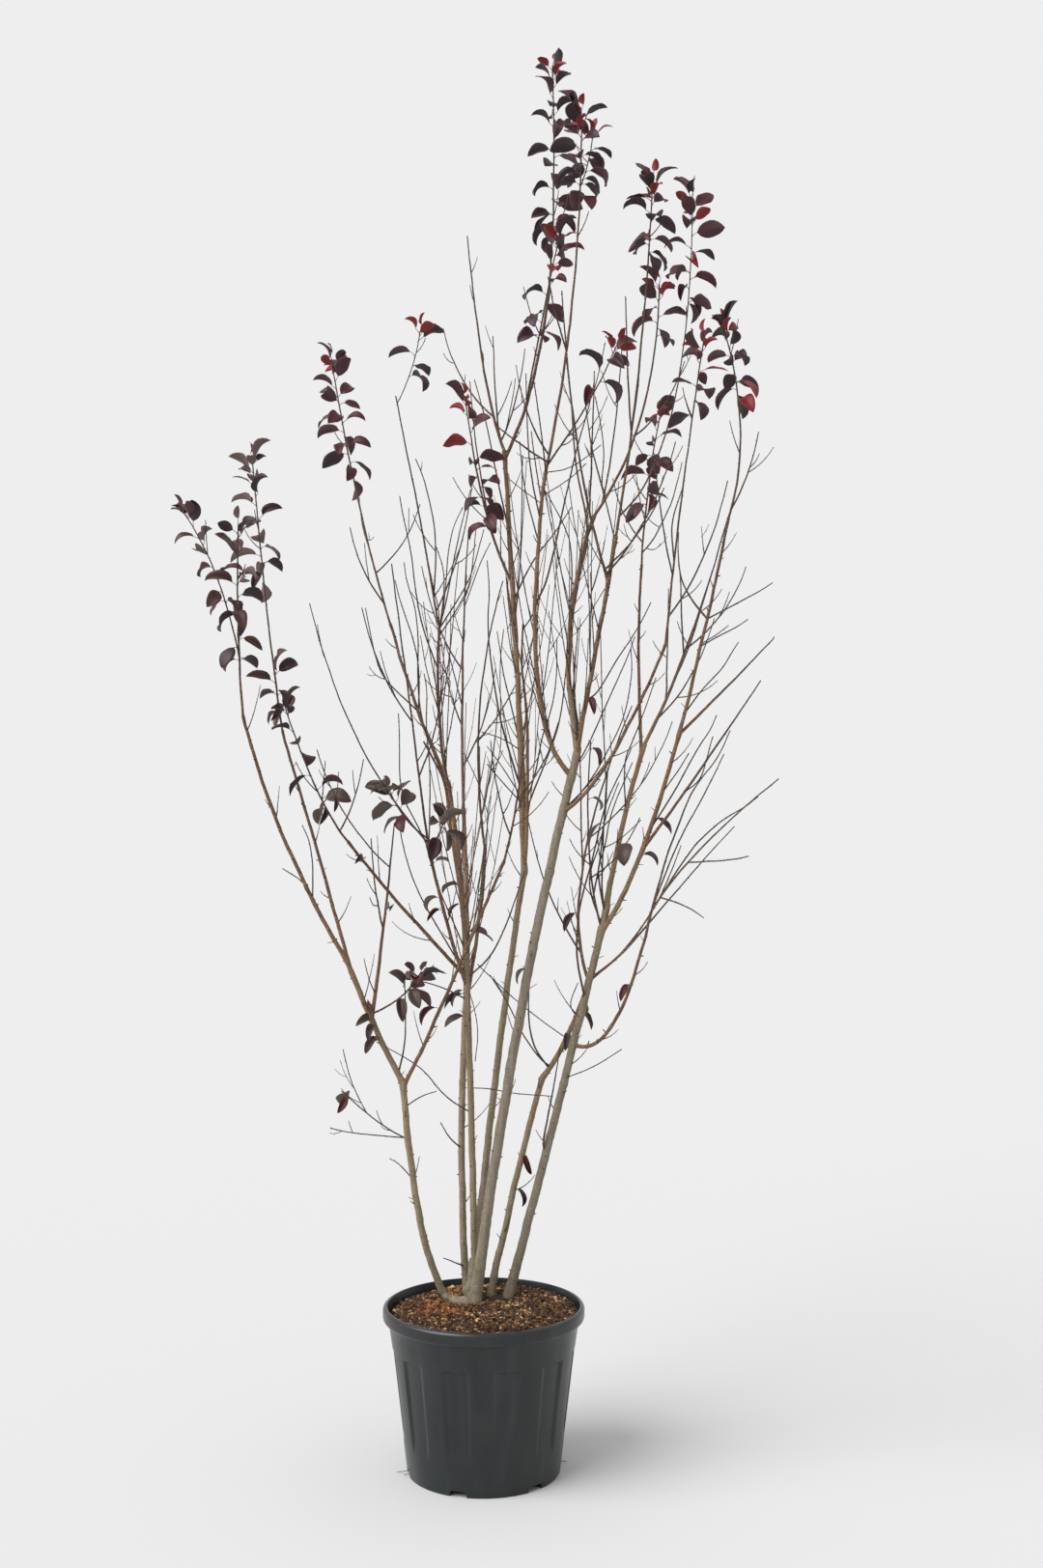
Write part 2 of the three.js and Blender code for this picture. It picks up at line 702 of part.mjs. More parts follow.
// A mass is fused from its leader, its whips, their twigs and their leaves. A seeded twig or
// leaf that would come too near another node, or leave the mass's own space, is skipped.
function mass(name, rule, number) {
  const roll = seeded(number + 1);
  const root = rootOn(...rule.on);
  const [pull, tip] = rule.leader.map(vector);
  const thick = rule.thick ?? limbs.get(rule.on[0]).radius(1) * 0.95;
  const leader = limb(root, pull, tip, thick, 1.5 * BUD_RADIUS);
  const reach = rule.reach ?? TWIG_REACH;
  const parts = [bentTube(leader, ...LEADER_MESH, { pointed: !rule.leaves })];
  const shoots = [{ shoot: leader, leaves: rule.leaves ?? [] }];
  const mine = beadsOf(leader);
  const space = new THREE.Box3().setFromPoints([root, pull, tip]);
  for (const [start, end, leaves, bare = 0.5, ownPull] of rule.whips) {
    const at = leader.curve.getPoint(start);
    const thickest = Math.min(WHIP_RADIUS, leader.radius(start) * 0.85);
    const shoot = whip(at, vector(end), thickest, ownPull);
    parts.push(bentTube(shoot, ...WHIP_MESH, { pointed: leaves === 0 }));
    shoots.push({ shoot, leaves: [[bare, 1, leaves]] });
    mine.push(...beadsOf(shoot));
    space.expandByPoint(vector(end));
  }
  space.expandByScalar(reach * 0.8);
  const fits = (row) =>
    row.every((bead) => space.containsPoint(bead.at)) && isClear(row, name);
  for (let k = 0; k < (rule.twigs ?? 3); k++) {
    const { shoot } = shoots[k % shoots.length];
    const t = 0.12 + 0.75 * roll();
    const length = reach * (1.1 - 0.6 * t) * (0.55 + 0.6 * roll());
    const side = twig(shoot, t, k * GOLDEN_ANGLE + roll(), TWIG_LEAN + 0.35 * roll(), length);
    const row = beadsOf(side);
    if (!fits(row.slice(1))) continue;
    parts.push(bentTube(side, ...TWIG_MESH, { pointed: true }));
    mine.push(...row);
  }
  const blades = [];
  const apart = (row) =>
    row.every((bead) => blades.every((other) => bead.at.distanceTo(other.at) > bead.radius));
  for (const { shoot, leaves } of shoots) {
    for (const [start, end, count] of leaves) {
      for (let k = 0; k < count; k++) {
        const t = start + ((end - start) * (k + 0.6 * roll())) / count;
        const lean = LOW_LEAF_LEAN + (TOP_LEAF_LEAN - LOW_LEAF_LEAN) * (k / count);
        const size = 0.85 + 0.3 * roll();
        const turn = k * GOLDEN_ANGLE + roll();
        const blade = LEAF_TURNS.map((more) => leaf(shoot, t, turn + more, lean, size)).find(
          ({ row }) => fits(row) && apart(row),
        );
        if (!blade) continue;
        parts.push(blade.solid());
        blades.push(...blade.row);
      }
    }
  }
  mine.push(...blades);
  const fused = parts.reduce((whole, part) => whole.add(part));
  addNode(name, cutClear(fused, root), blades.length > 0 ? LEAF_PURPLE : YOUNG_BARK);
  remember(mine, name);
}

addNode("pot", pot(), BLACK_PLASTIC);
addNode("mulch", mulch(), MULCH);
stems();
boughs();
Object.entries(MASSES).forEach(([name, rule], number) => mass(name, rule, number));

export default plant;
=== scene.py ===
# %% [markdown]
# # A cherry plum in its nursery pot
#
# The real thing is a shrub 3.47 m tall: seven smooth stems from one root, a tangle of bare
# whips above them, and purple leaves left only at the shoot tips. It stands in a 50 litre pot
# of black polypropylene, filled with bark mulch.
#
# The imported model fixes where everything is. Each of its solids is plain, so this script puts
# a finer mesh in the place of each, made from the same named sizes, in millimetres.

import math
from collections import namedtuple

import bmesh
import bpy
import numpy as np
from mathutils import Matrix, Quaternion, Vector, noise


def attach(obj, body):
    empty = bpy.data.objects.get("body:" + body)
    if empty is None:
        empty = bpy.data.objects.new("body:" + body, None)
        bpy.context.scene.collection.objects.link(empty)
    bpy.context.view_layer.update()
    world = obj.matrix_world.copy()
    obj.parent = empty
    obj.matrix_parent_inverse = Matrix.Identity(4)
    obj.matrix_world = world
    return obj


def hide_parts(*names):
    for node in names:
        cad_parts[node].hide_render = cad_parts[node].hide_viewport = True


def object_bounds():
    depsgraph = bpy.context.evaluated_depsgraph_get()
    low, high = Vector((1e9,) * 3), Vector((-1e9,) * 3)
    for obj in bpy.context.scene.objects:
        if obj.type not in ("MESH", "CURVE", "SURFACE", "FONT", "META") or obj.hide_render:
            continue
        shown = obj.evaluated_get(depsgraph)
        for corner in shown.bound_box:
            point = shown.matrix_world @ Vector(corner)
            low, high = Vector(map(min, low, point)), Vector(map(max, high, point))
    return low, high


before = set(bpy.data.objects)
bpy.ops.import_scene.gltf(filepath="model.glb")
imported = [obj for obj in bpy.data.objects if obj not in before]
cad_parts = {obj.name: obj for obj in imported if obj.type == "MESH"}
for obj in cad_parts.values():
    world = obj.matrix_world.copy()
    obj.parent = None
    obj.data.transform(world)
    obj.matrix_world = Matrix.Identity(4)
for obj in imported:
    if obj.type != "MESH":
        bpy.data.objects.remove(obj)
cad_low, cad_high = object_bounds()
# Vector noise is offset at random on each run unless it has a seed.
NOISE_SEED = 4
noise.seed_set(NOISE_SEED)
print("nodes:", len(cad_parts), "height in metres:", round(cad_high.z, 3))


def add_object(name, data):
    """Puts a camera, lamp or mesh in the scene, under its own name."""
    made = bpy.data.objects.new(name, data)
    bpy.context.scene.collection.objects.link(made)
    return made


# %% [markdown]
# ## The camera
#
# A tall plant is photographed from far back with the camera held level, so that its stems
# stay upright. The lens could be set by its angle, but the focal length follows from a length
# of known size in the picture, so it is worked out from that.

# %% A level camera at chest height
EYE = (0.0913, -4.374, 1.660)
SENSOR = 36.0
PICTURE_HEIGHT = 1624
FOCAL_LENGTH_IN_PIXELS = 1869

lens = bpy.data.cameras.new("level_camera")
lens.sensor_width = SENSOR
lens.lens = SENSOR * FOCAL_LENGTH_IN_PIXELS / PICTURE_HEIGHT
camera = add_object("level_camera", lens)
camera.location = EYE
camera.rotation_euler = (math.pi / 2, 0, 0)
bpy.context.scene.camera = camera
print("lens:", round(lens.lens, 2), "mm")

# %% [markdown]
# ## Colours and finishes
#
# Screen colours are written as sRGB hex values, but shaders add light up, so they take linear
# values. A finish starts from Blender's one general shader. Its even values are set on its own
# sockets, and only what varies over the surface comes from nodes.

# %% Helpers for finishes
def linear(code):
    """An sRGB hex value as the linear colour that a shader takes."""
    parts = [int(code[k : k + 2], 16) / 255 for k in (1, 3, 5)]
    bent = [p / 12.92 if p <= 0.04045 else ((p + 0.055) / 1.055) ** 2.4 for p in parts]
    return (*bent, 1.0)


def new_finish(name, colour=None, **even):
    """A material with what is even all over it set on its shader's own sockets."""
    finish = bpy.data.materials.new(name)
    finish.use_nodes = True
    sockets = finish.node_tree.nodes["Principled BSDF"].inputs
    for socket, value in even.items():
        sockets[socket.replace("_", " ")].default_value = value
    if colour:
        sockets["Base Color"].default_value = linear(colour)
    return finish


def add_node(tree, kind, sockets=None, out=0, stops=(), **settings):
    """Adds a shader node and returns one of its outputs. sockets gives its inputs by name or
    number, each as a value or as another node's output."""
    made = tree.nodes.new("ShaderNode" + kind)
    for key, value in settings.items():
        setattr(made, key, value)
    for key, value in (sockets or {}).items():
        if isinstance(value, bpy.types.NodeSocket):
            tree.links.new(value, made.inputs[key])
        else:
            made.inputs[key].default_value = value
    if stops:
        ramp = made.color_ramp.elements
        while len(ramp) < len(stops):
            ramp.new(1.0)
        for element, (place, code) in zip(ramp, stops):
            element.position = place
            element.color = linear(code)
    return made.outputs[out]


def feed(finish, **outputs):
    """Links what varies over a finish to its own shader."""
    shader = finish.node_tree.nodes["Principled BSDF"]
    for socket, output in outputs.items():
        finish.node_tree.links.new(output, shader.inputs[socket.replace("_", " ")])


# %% [markdown]
# ## The floor and the light
#
# The plant stands in a bright, even studio. One very wide soft lamp at the upper left models
# the round stems, and a pale sky does the rest. Nothing stands behind the plant, so that it can
# be seen from every side, and the sky's own colour is the background. The lamp adds to the
# floor just what its paint takes from the sky's light, so that floor and sky meet without a
# line.

# %% Floor, sky and one wide soft lamp
FLOOR_RADIUS = 40.0
FLOOR_PAINT = "#c2c2c2"
SKY_COLOUR = "#eeeeee"
LAMP_FROM_UPRIGHT = 48
LAMP_TO_LEFT = 58
LAMP_SPREAD = 50

matt_floor = new_finish("painted_floor", FLOOR_PAINT, Roughness=1.0, Specular_IOR_Level=0.0)
shape = bmesh.new()
bmesh.ops.create_circle(shape, cap_ends=True, segments=96, radius=FLOOR_RADIUS)
mesh = bpy.data.meshes.new("studio_floor")
shape.to_mesh(mesh)
shape.free()
mesh.materials.append(matt_floor)
studio_floor = add_object("studio_floor", mesh)

sky = bpy.data.worlds.new("pale_sky")
sky.use_nodes = True
sockets = sky.node_tree.nodes["Background"].inputs
sockets["Color"].default_value = linear(SKY_COLOUR)
sockets["Strength"].default_value = 1.0
bpy.context.scene.world = sky
bpy.context.scene.view_settings.view_transform = "Standard"

paint = linear(FLOOR_PAINT)[1]
missing = linear(SKY_COLOUR)[1] * (1 - paint) / paint
lamp = bpy.data.lights.new("wide_soft_lamp", "SUN")
lamp.angle = math.radians(LAMP_SPREAD)
lamp.energy = math.pi * missing / math.cos(math.radians(LAMP_FROM_UPRIGHT))
holder = add_object("wide_soft_lamp", lamp)
holder.rotation_euler = (math.radians(LAMP_FROM_UPRIGHT), 0, math.radians(-LAMP_TO_LEFT))
print("lamp strength:", round(lamp.energy, 2))

# %% [markdown]
# ## Finished pieces
#
# A piece could keep its place in its object's transform, but the patterns read object
# coordinates, so each piece's place is in its mesh and its object stays at the origin.
# Every piece moves with the part's one body, hides the solids it stands for and prints how many
# they are.

# %% Put a finished mesh in the scene
def place_piece(name, mesh, finishes, nodes=()):
    """Links a finished mesh as a piece of the plant, hides the solids it stands for and prints
    how many.
    """
    for finish in finishes:
        mesh.materials.append(finish)
    piece = add_object(name, mesh)
    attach(piece, "root")
    if nodes:
        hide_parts(*nodes)
    mesh.calc_loop_triangles()
    print(name, "has", len(mesh.loop_triangles), "triangles and stands for", len(nodes))


def as_mesh(shape, name):
    """A finished bmesh as a smooth mesh with its faces outwards."""
    bmesh.ops.recalc_face_normals(shape, faces=shape.faces[:])
    for face in shape.faces:
        face.smooth = True
    mesh = bpy.data.meshes.new(name)
    shape.to_mesh(mesh)
    shape.free()
    return mesh


# %% [markdown]
# ## The pot
#
# A container this size is injection moulded from recycled polypropylene, a waxy plastic. Its
# strength is in its shape: a rolled lip to lift it by, a flared collar under it so that pots
# stack without jamming, and eleven hollow flutes down the wall. Its foot has notches to let
# water out. Extruding the wall would need a cut for every flute, so one profile is spun round
# the axis and the points that lie in a flute or a notch are then pressed in.

# %% The pot's driving sizes, in millimetres
MM = 0.001
POT_HEIGHT = 400
LIP_RADIUS = 244
LIP_BOTTOM = 365
COLLAR_RADIUS = 231
COLLAR_BOTTOM = 302
WALL_TOP_RADIUS = 221
FOOT_RADIUS = 185
MOUTH_RADIUS = 233
MOUTH_BOTTOM = 350
WALL = 10
FLOOR = 18
FLUTES = 11
FLUTE_DEPTH = 5
FLUTE_HEAD = 5
FLUTE_BOTTOM = 70
FLUTE_FADE = 45
FLUTE_HALF_ANGLE = 8.6
FLUTE_EDGE_ANGLE = 0.9
NOTCHES = 6
NOTCH_HEIGHT = 14
NOTCH_HALF_ANGLE = 6.1
NOTCH_TURN = -18
SPIN_STEPS = 352


def wall_at(height):
    """The radius of the tapered wall at a height."""
    return FOOT_RADIUS + (WALL_TOP_RADIUS - FOOT_RADIUS) * height / COLLAR_BOTTOM


def arc(centre, radius, start, end, steps):
    """Points on a part of a circle, with its angles in degrees."""
    turns = [math.radians(start + (end - start) * k / steps) for k in range(steps + 1)]
    return [
        (centre[0] + radius * math.cos(a), centre[1] + radius * math.sin(a)) for a in turns
    ]


print("the pot is", 2 * LIP_RADIUS, "mm across and", POT_HEIGHT, "mm tall")

# %% The profile, from the middle of the underside round to the middle of the floor
WALL_HEIGHTS = [8, 13, 18, 34, 52, 70, 80, 90, 100, 115, 150, 190, 230, 270, 292, 295, 297]
WALL_HEIGHTS += [300, 301]
UNDERSIDE_RING = 80
NOTCH_REACH = 27
SMALL_ROUND = 2
LIP_UNDER_ROUND = 11
LIP_TOP_ROUND = 9
COLLAR_BEND = 335
MOUTH_BEND = 375

notch_end = FOOT_RADIUS - NOTCH_REACH
profile = [(0, 0), (UNDERSIDE_RING, 0), (notch_end - 1, 0), (notch_end, 0)]
profile += arc((FOOT_RADIUS - SMALL_ROUND, SMALL_ROUND), SMALL_ROUND, -90, 0, 2)
profile += [(wall_at(height), height) for height in WALL_HEIGHTS]
profile += [(WALL_TOP_RADIUS, COLLAR_BOTTOM), (WALL_TOP_RADIUS + 0.6, COLLAR_BOTTOM + 3)]
profile += [(COLLAR_RADIUS - 5, COLLAR_BEND), (COLLAR_RADIUS - 1, LIP_BOTTOM - 3)]
profile += [(COLLAR_RADIUS + 0.5, LIP_BOTTOM)]
for round_off, height, start in (
    (LIP_UNDER_ROUND, LIP_BOTTOM + LIP_UNDER_ROUND, -90),
    (LIP_TOP_ROUND, POT_HEIGHT - LIP_TOP_ROUND, 0),
):
    profile += arc((LIP_RADIUS - round_off, height), round_off, start, start + 90, 6)
profile += arc((MOUTH_RADIUS + SMALL_ROUND, POT_HEIGHT - SMALL_ROUND), SMALL_ROUND, 90, 180, 2)
profile += [(MOUTH_RADIUS - 5, MOUTH_BEND), (MOUTH_RADIUS - WALL, MOUTH_BOTTOM)]
profile += [(FOOT_RADIUS - WALL, FLOOR), (0, FLOOR)]
print("profile points:", len(profile))

# %% Spin it round the axis
SAME_PLACE = 0.02


def spun(profile, steps):
    """A profile of radii and heights in millimetres, spun round the upright axis."""
    shape = bmesh.new()
    points = [shape.verts.new((radius * MM, 0, height * MM)) for radius, height in profile]
    edges = [shape.edges.new(pair) for pair in zip(points, points[1:])]
    bmesh.ops.spin(
        shape,
        geom=points + edges,
        cent=(0, 0, 0),
        axis=(0, 0, 1),
        angle=2 * math.pi,
        steps=steps,
        use_merge=True,
    )
    bmesh.ops.remove_doubles(shape, verts=shape.verts[:], dist=SAME_PLACE * MM)
    return shape


def soft_step(value):
    """Rises smoothly from 0 to 1 as the value does."""
    held = min(1.0, max(0.0, value))
    return held * held * (3 - 2 * held)


def off_centre(angle, count, turn):
    """Degrees from an angle to the middle of the nearest of some even panels."""
    pitch = 360 / count
    return abs((angle - turn + pitch / 2) % pitch - pitch / 2)


shape = spun(profile, SPIN_STEPS)
print("points round the pot:", len(shape.verts))

# %% Press in the flutes and the notches
for vert in shape.verts:
    radius = math.hypot(vert.co.x, vert.co.y) / MM
    height = vert.co.z / MM
    angle = math.degrees(math.atan2(vert.co.y, vert.co.x))
    outside = radius > FOOT_RADIUS - WALL / 2 and height < COLLAR_BOTTOM
    if outside and height > FLUTE_BOTTOM:
        beside = off_centre(angle + 90, FLUTES, 180 / FLUTES)
        across = soft_step((FLUTE_HALF_ANGLE - beside) / FLUTE_EDGE_ANGLE)
        upward = soft_step((height - FLUTE_BOTTOM) / FLUTE_FADE)
        below_head = soft_step((COLLAR_BOTTOM - height) / FLUTE_HEAD)
        sunk = FLUTE_DEPTH * across * upward * below_head
        vert.co.x *= (radius - sunk) / radius
        vert.co.y *= (radius - sunk) / radius
    on_foot = radius > notch_end - 0.5 and height < NOTCH_HEIGHT
    if on_foot and off_centre(angle + 90, NOTCHES, NOTCH_TURN) < NOTCH_HALF_ANGLE:
        vert.co.z = NOTCH_HEIGHT * MM
bmesh.ops.remove_doubles(shape, verts=shape.verts[:], dist=SAME_PLACE * MM)
pot_mesh = as_mesh(shape, "pot_moulding")
print("points on the finished pot:", len(pot_mesh.vertices))

# %% [markdown]
# ## Polypropylene finish
#
# Polypropylene has an IOR of 1.49 and comes from the mould semi-matt. Recycled black is never
# quite black: it greys in the light, and dust and splashed peat cling to it. Flow marks run up
# the wall. The grain of the mould is about 1 mm, too fine to show here, so the bump is drawn
# at 4 mm, which still breaks the highlight as the real grain does.

# %% Black recycled polypropylene, injection moulded
polypropylene = new_finish("polypropylene_recycled_black", IOR=1.49)
tree = polypropylene.node_tree
place = add_node(tree, "TexCoord", out="Object")
upright = add_node(tree, "Mapping", {"Vector": place, "Scale": (26, 26, 3)})
flow = add_node(tree, "TexNoise", {"Vector": upright, "Scale": 1.0, "Detail": 5.0})
dust = add_node(tree, "TexNoise", {"Vector": place, "Scale": 9.0, "Detail": 6.0})
stops = [(0.3, "#101416"), (0.55, "#171c1d"), (0.75, "#242a2b")]
greys = add_node(tree, "ValToRGB", {"Fac": flow}, stops=stops)
stops = [(0.48, "#000000"), (0.85, "#5c5c5c")]
patches = add_node(tree, "ValToRGB", {"Fac": dust}, stops=stops)
mixed = {"Factor": patches, 6: greys, 7: linear("#454a48")}
dusty = add_node(tree, "Mix", mixed, out=2, data_type="RGBA")
gloss = add_node(tree, "MapRange", {"Value": dust, "To Min": 0.2, "To Max": 0.42})
grain = add_node(tree, "TexNoise", {"Vector": place, "Scale": 250.0, "Detail": 3.0})
bump = add_node(tree, "Bump", {"Height": grain, "Strength": 0.25, "Distance": 0.4 * MM})
feed(polypropylene, Base_Color=dusty, Roughness=gloss, Normal=bump)
place_piece("pot_moulding", pot_mesh, [polypropylene], ["pot"])

# %% [markdown]
# ## The bark mulch
#
# The pot is topped with composted bark and coir: chips of 4 to 12 mm, wetted dark below and
# dried pale on top, with rusty and ochre patches where feed was spread. Modelling the bed as one
# bumpy surface would show no chips at all, so a low rough mound is spun first, and loose
# chips made from one jittered block are scattered over it.

# %% The rough mound
GROUND = 392
MOUND_RADIUS = 160
GROUND_EDGE = 380
MULCH_BOTTOM = 352
EDGE_GAP = 0.5
BED_SUNK = 3
BED_RINGS = 44
BED_STEPS = 160
HEAP_HEIGHT, HEAP_WIDTH = 3.0, 55
CLOD_HEIGHT, CLOD_WIDTH = 1.6, 14
HEAPED_TOWARDS = (0.6, 0.8)
HEAPED_SHARE = 0.75


def mouth_at(height):
    """The radius of the pot's inside at a height."""
    return MOUTH_RADIUS - WALL * (POT_HEIGHT - height) / (POT_HEIGHT - MOUTH_BOTTOM)


def ground_at(x, y):
    """The height of the mulch, with its dips and heaps, under a point in the pot."""
    rim = mouth_at(GROUND_EDGE)
    slope = min(1.0, max(0.0, (math.hypot(x, y) - MOUND_RADIUS) / (rim - MOUND_RADIUS)))
    heap = HEAP_HEIGHT * noise.noise(Vector((x, y, 0)) / HEAP_WIDTH)
    heap += CLOD_HEIGHT * noise.noise(Vector((x, y, 9)) / CLOD_WIDTH)
    heaped = max(0.0, HEAPED_TOWARDS[0] * x + HEAPED_TOWARDS[1] * y) / rim
    fall = (GROUND - GROUND_EDGE) * slope * (1 - HEAPED_SHARE * heaped)
    return GROUND - BED_SUNK - fall + heap


edge = mouth_at(GROUND_EDGE) - EDGE_GAP
profile = [(0, MULCH_BOTTOM), (mouth_at(MULCH_BOTTOM) - EDGE_GAP, MULCH_BOTTOM)]
profile += [(edge * k / BED_RINGS, GROUND) for k in range(BED_RINGS, -1, -1)]
shape = spun(profile, BED_STEPS)
for vert in shape.verts:
    if vert.co.z > (MULCH_BOTTOM + 5) * MM:
        vert.co.z = ground_at(vert.co.x / MM, vert.co.y / MM) * MM
bed_mesh = as_mesh(shape, "mulch_bed")
print("points on the mound:", len(bed_mesh.vertices))

# %% Composted bark: matt, dark and damp between the chips
BARK_IOR = 1.45

damp_compost = new_finish("compost_damp", Roughness=0.95, IOR=BARK_IOR)
tree = damp_compost.node_tree
place = add_node(tree, "TexCoord", out="Object")
clods = add_node(tree, "TexNoise", {"Vector": place, "Scale": 160.0, "Detail": 8.0})
stops = [(0.35, "#1b120d"), (0.55, "#302017"), (0.75, "#4d3423")]
browns = add_node(tree, "ValToRGB", {"Fac": clods}, stops=stops)
bump = add_node(tree, "Bump", {"Height": clods, "Strength": 0.9, "Distance": 2.0 * MM})
feed(damp_compost, Base_Color=browns, Normal=bump)
place_piece("mulch_bed", bed_mesh, [damp_compost], ["mulch"])

# %% [markdown]
# ## Many copies of one small shape
#
# Chips, buds and leaves come in hundreds. Linked objects would export one by one, so each kind
# is joined into one mesh: an operator makes the shape once, and arrays of its points, moved
# for each copy, are laid end to end.

# %% Join copies, and the same run of random numbers each time
def take_apart(shape):
    """A shape's points, faces and material numbers, to be repeated."""
    shape.verts.index_update()
    points = np.array([vert.co[:] for vert in shape.verts])
    faces = [[vert.index for vert in face.verts] for face in shape.faces]
    finishes = [face.material_index for face in shape.faces]
    shape.free()
    return points, faces, finishes


def join_copies(name, faces, finishes, copies, smooth=True):
    """One mesh from many copies, each an array of moved points in millimetres."""
    size = len(copies[0])
    mesh = bpy.data.meshes.new(name)
    mesh.from_pydata(
        np.concatenate(copies) * MM,
        [],
        [[k * size + corner for corner in face] for k in range(len(copies)) for face in faces],
    )
    mesh.polygons.foreach_set("material_index", finishes * len(copies))
    mesh.polygons.foreach_set("use_smooth", [smooth] * len(mesh.polygons))
    return mesh


def seeded(seed):
    """The same seed always gives the same run of numbers from 0 to 1. So a + b * roll() lies
    between a and a + b, and a squared roll makes the low values the common ones."""
    state = seed * 7919 + 12347

    def roll():
        nonlocal state
        state = (state * 1664525 + 1013904223) % 4294967296
        return state / 4294967296

    roll()
    return roll


# %% Scatter the chips by their colour
CHIPS = 6200
CHIP_COLOURS = {
    "dark": "#2a1a10",
    "brown": "#4c311c",
    "tan": "#775532",
    "pale": "#b09063",
    "rusty": "#834a24",
    "ochre": "#8d6534",
}
SHADE_LIMITS = [("dark", 0.34), ("brown", 0.76), ("tan", 0.93), ("pale", 1.0)]
CHIP_LENGTH, MORE_LENGTH = 3.5, 9
CHIP_WIDTH_SHARE, MORE_WIDTH_SHARE = 0.3, 0.45
CHIP_THICKNESS, MORE_THICKNESS = 1.2, 1.8
# Each patch is a colour, its middle and its radius, and the hollow is its middle and radius.
PATCHES = [("rusty", -100, -35, 62), ("rusty", -120, 45, 40), ("ochre", -80, 140, 60)]
PATCH_SHARE = 0.38
HOLLOW = (38, 92, 34)
HOLLOW_DEPTH = 7
RIM_MARGIN = 7
MOST_TILT = 0.9
MOST_LIFT = 2.6

shape = bmesh.new()
bmesh.ops.create_cube(shape, size=1)
block, block_faces, block_finishes = take_apart(shape)
roll = seeded(901)
chips = {colour: [] for colour in CHIP_COLOURS}
for _ in range(CHIPS):
    radius = (edge - RIM_MARGIN) * math.sqrt(roll())
    turn = 2 * math.pi * roll()
    x, y = radius * math.cos(turn), radius * math.sin(turn)
    long = CHIP_LENGTH + MORE_LENGTH * roll() ** 2
    wide = long * (CHIP_WIDTH_SHARE + MORE_WIDTH_SHARE * roll())
    thick = CHIP_THICKNESS + MORE_THICKNESS * roll()
    spread = np.array([[roll(), roll(), roll()] for _ in block]) * 0.5 - 0.25
    points = (block + spread) * (long, wide, thick)
    tilt = Quaternion((roll() - 0.5, roll() - 0.5, 0), MOST_TILT * roll()).to_matrix()
    heading = Quaternion((0, 0, 1), 2 * math.pi * roll()).to_matrix()
    from_hollow = (x - HOLLOW[0]) ** 2 + (y - HOLLOW[1]) ** 2
    hollow = HOLLOW_DEPTH * math.exp(-(from_hollow / HOLLOW[2] ** 2))
    lift = ground_at(x, y) + MOST_LIFT * roll() - hollow
    points = points @ np.array(tilt @ heading).T + (x, y, lift)
    pick = roll()
    shade = next(colour for colour, limit in SHADE_LIMITS if pick < limit)
    for colour, px, py, size in PATCHES:
        if math.hypot(x - px, y - py) < size * (0.6 + 0.6 * roll()) and roll() < PATCH_SHARE:
            shade = colour
    chips[shade].append(points)

for colour, copies in chips.items():
    finish = new_finish("bark_chip_" + colour, CHIP_COLOURS[colour], Roughness=0.88, IOR=BARK_IOR)
    mesh = join_copies("chips_" + colour, block_faces, block_finishes, copies, smooth=False)
    place_piece("chips_" + colour, mesh, [finish])

# %% [markdown]
# ## How the limbs grow
#
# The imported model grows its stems, boughs and leafy masses by one rule, and the same rule is
# written again here, so that every limb and leaf of the finished plant is where its solid is.
# A limb bends once, towards its pull. Its table gives where it starts, its pull, its tip and
# its two radii.

# %% The stems, each from its foot in the mulch
STEMS = {
  "stem_1": [[-60, 55], [-160, 40, 425], [-195, -25, 939], 8, 7],
  "stem_5": [[-24, 48], [64, 40, 1080], [229, 20, 1745], 12, 9],
  "stem_3": [[-24, 92], [-28, 70, 800], [-45, 60, 1205], 7.5, 7],
  "stem_2": [[-44, 118], [-72, 140, 740], [-47, 175, 1130], 8, 7],
  "stem_4": [[-35, 150], [44, 155, 1127], [98, 150, 1443], 8.5, 6.5],
  "stem_6": [[10, 108], [66, 142, 640], [144, 160, 922], 7.5, 6.5],
  "stem_7": [[54, 104], [190, 100, 880], [302, 100, 1349], 10, 8],
}
print("stems:", len(STEMS))

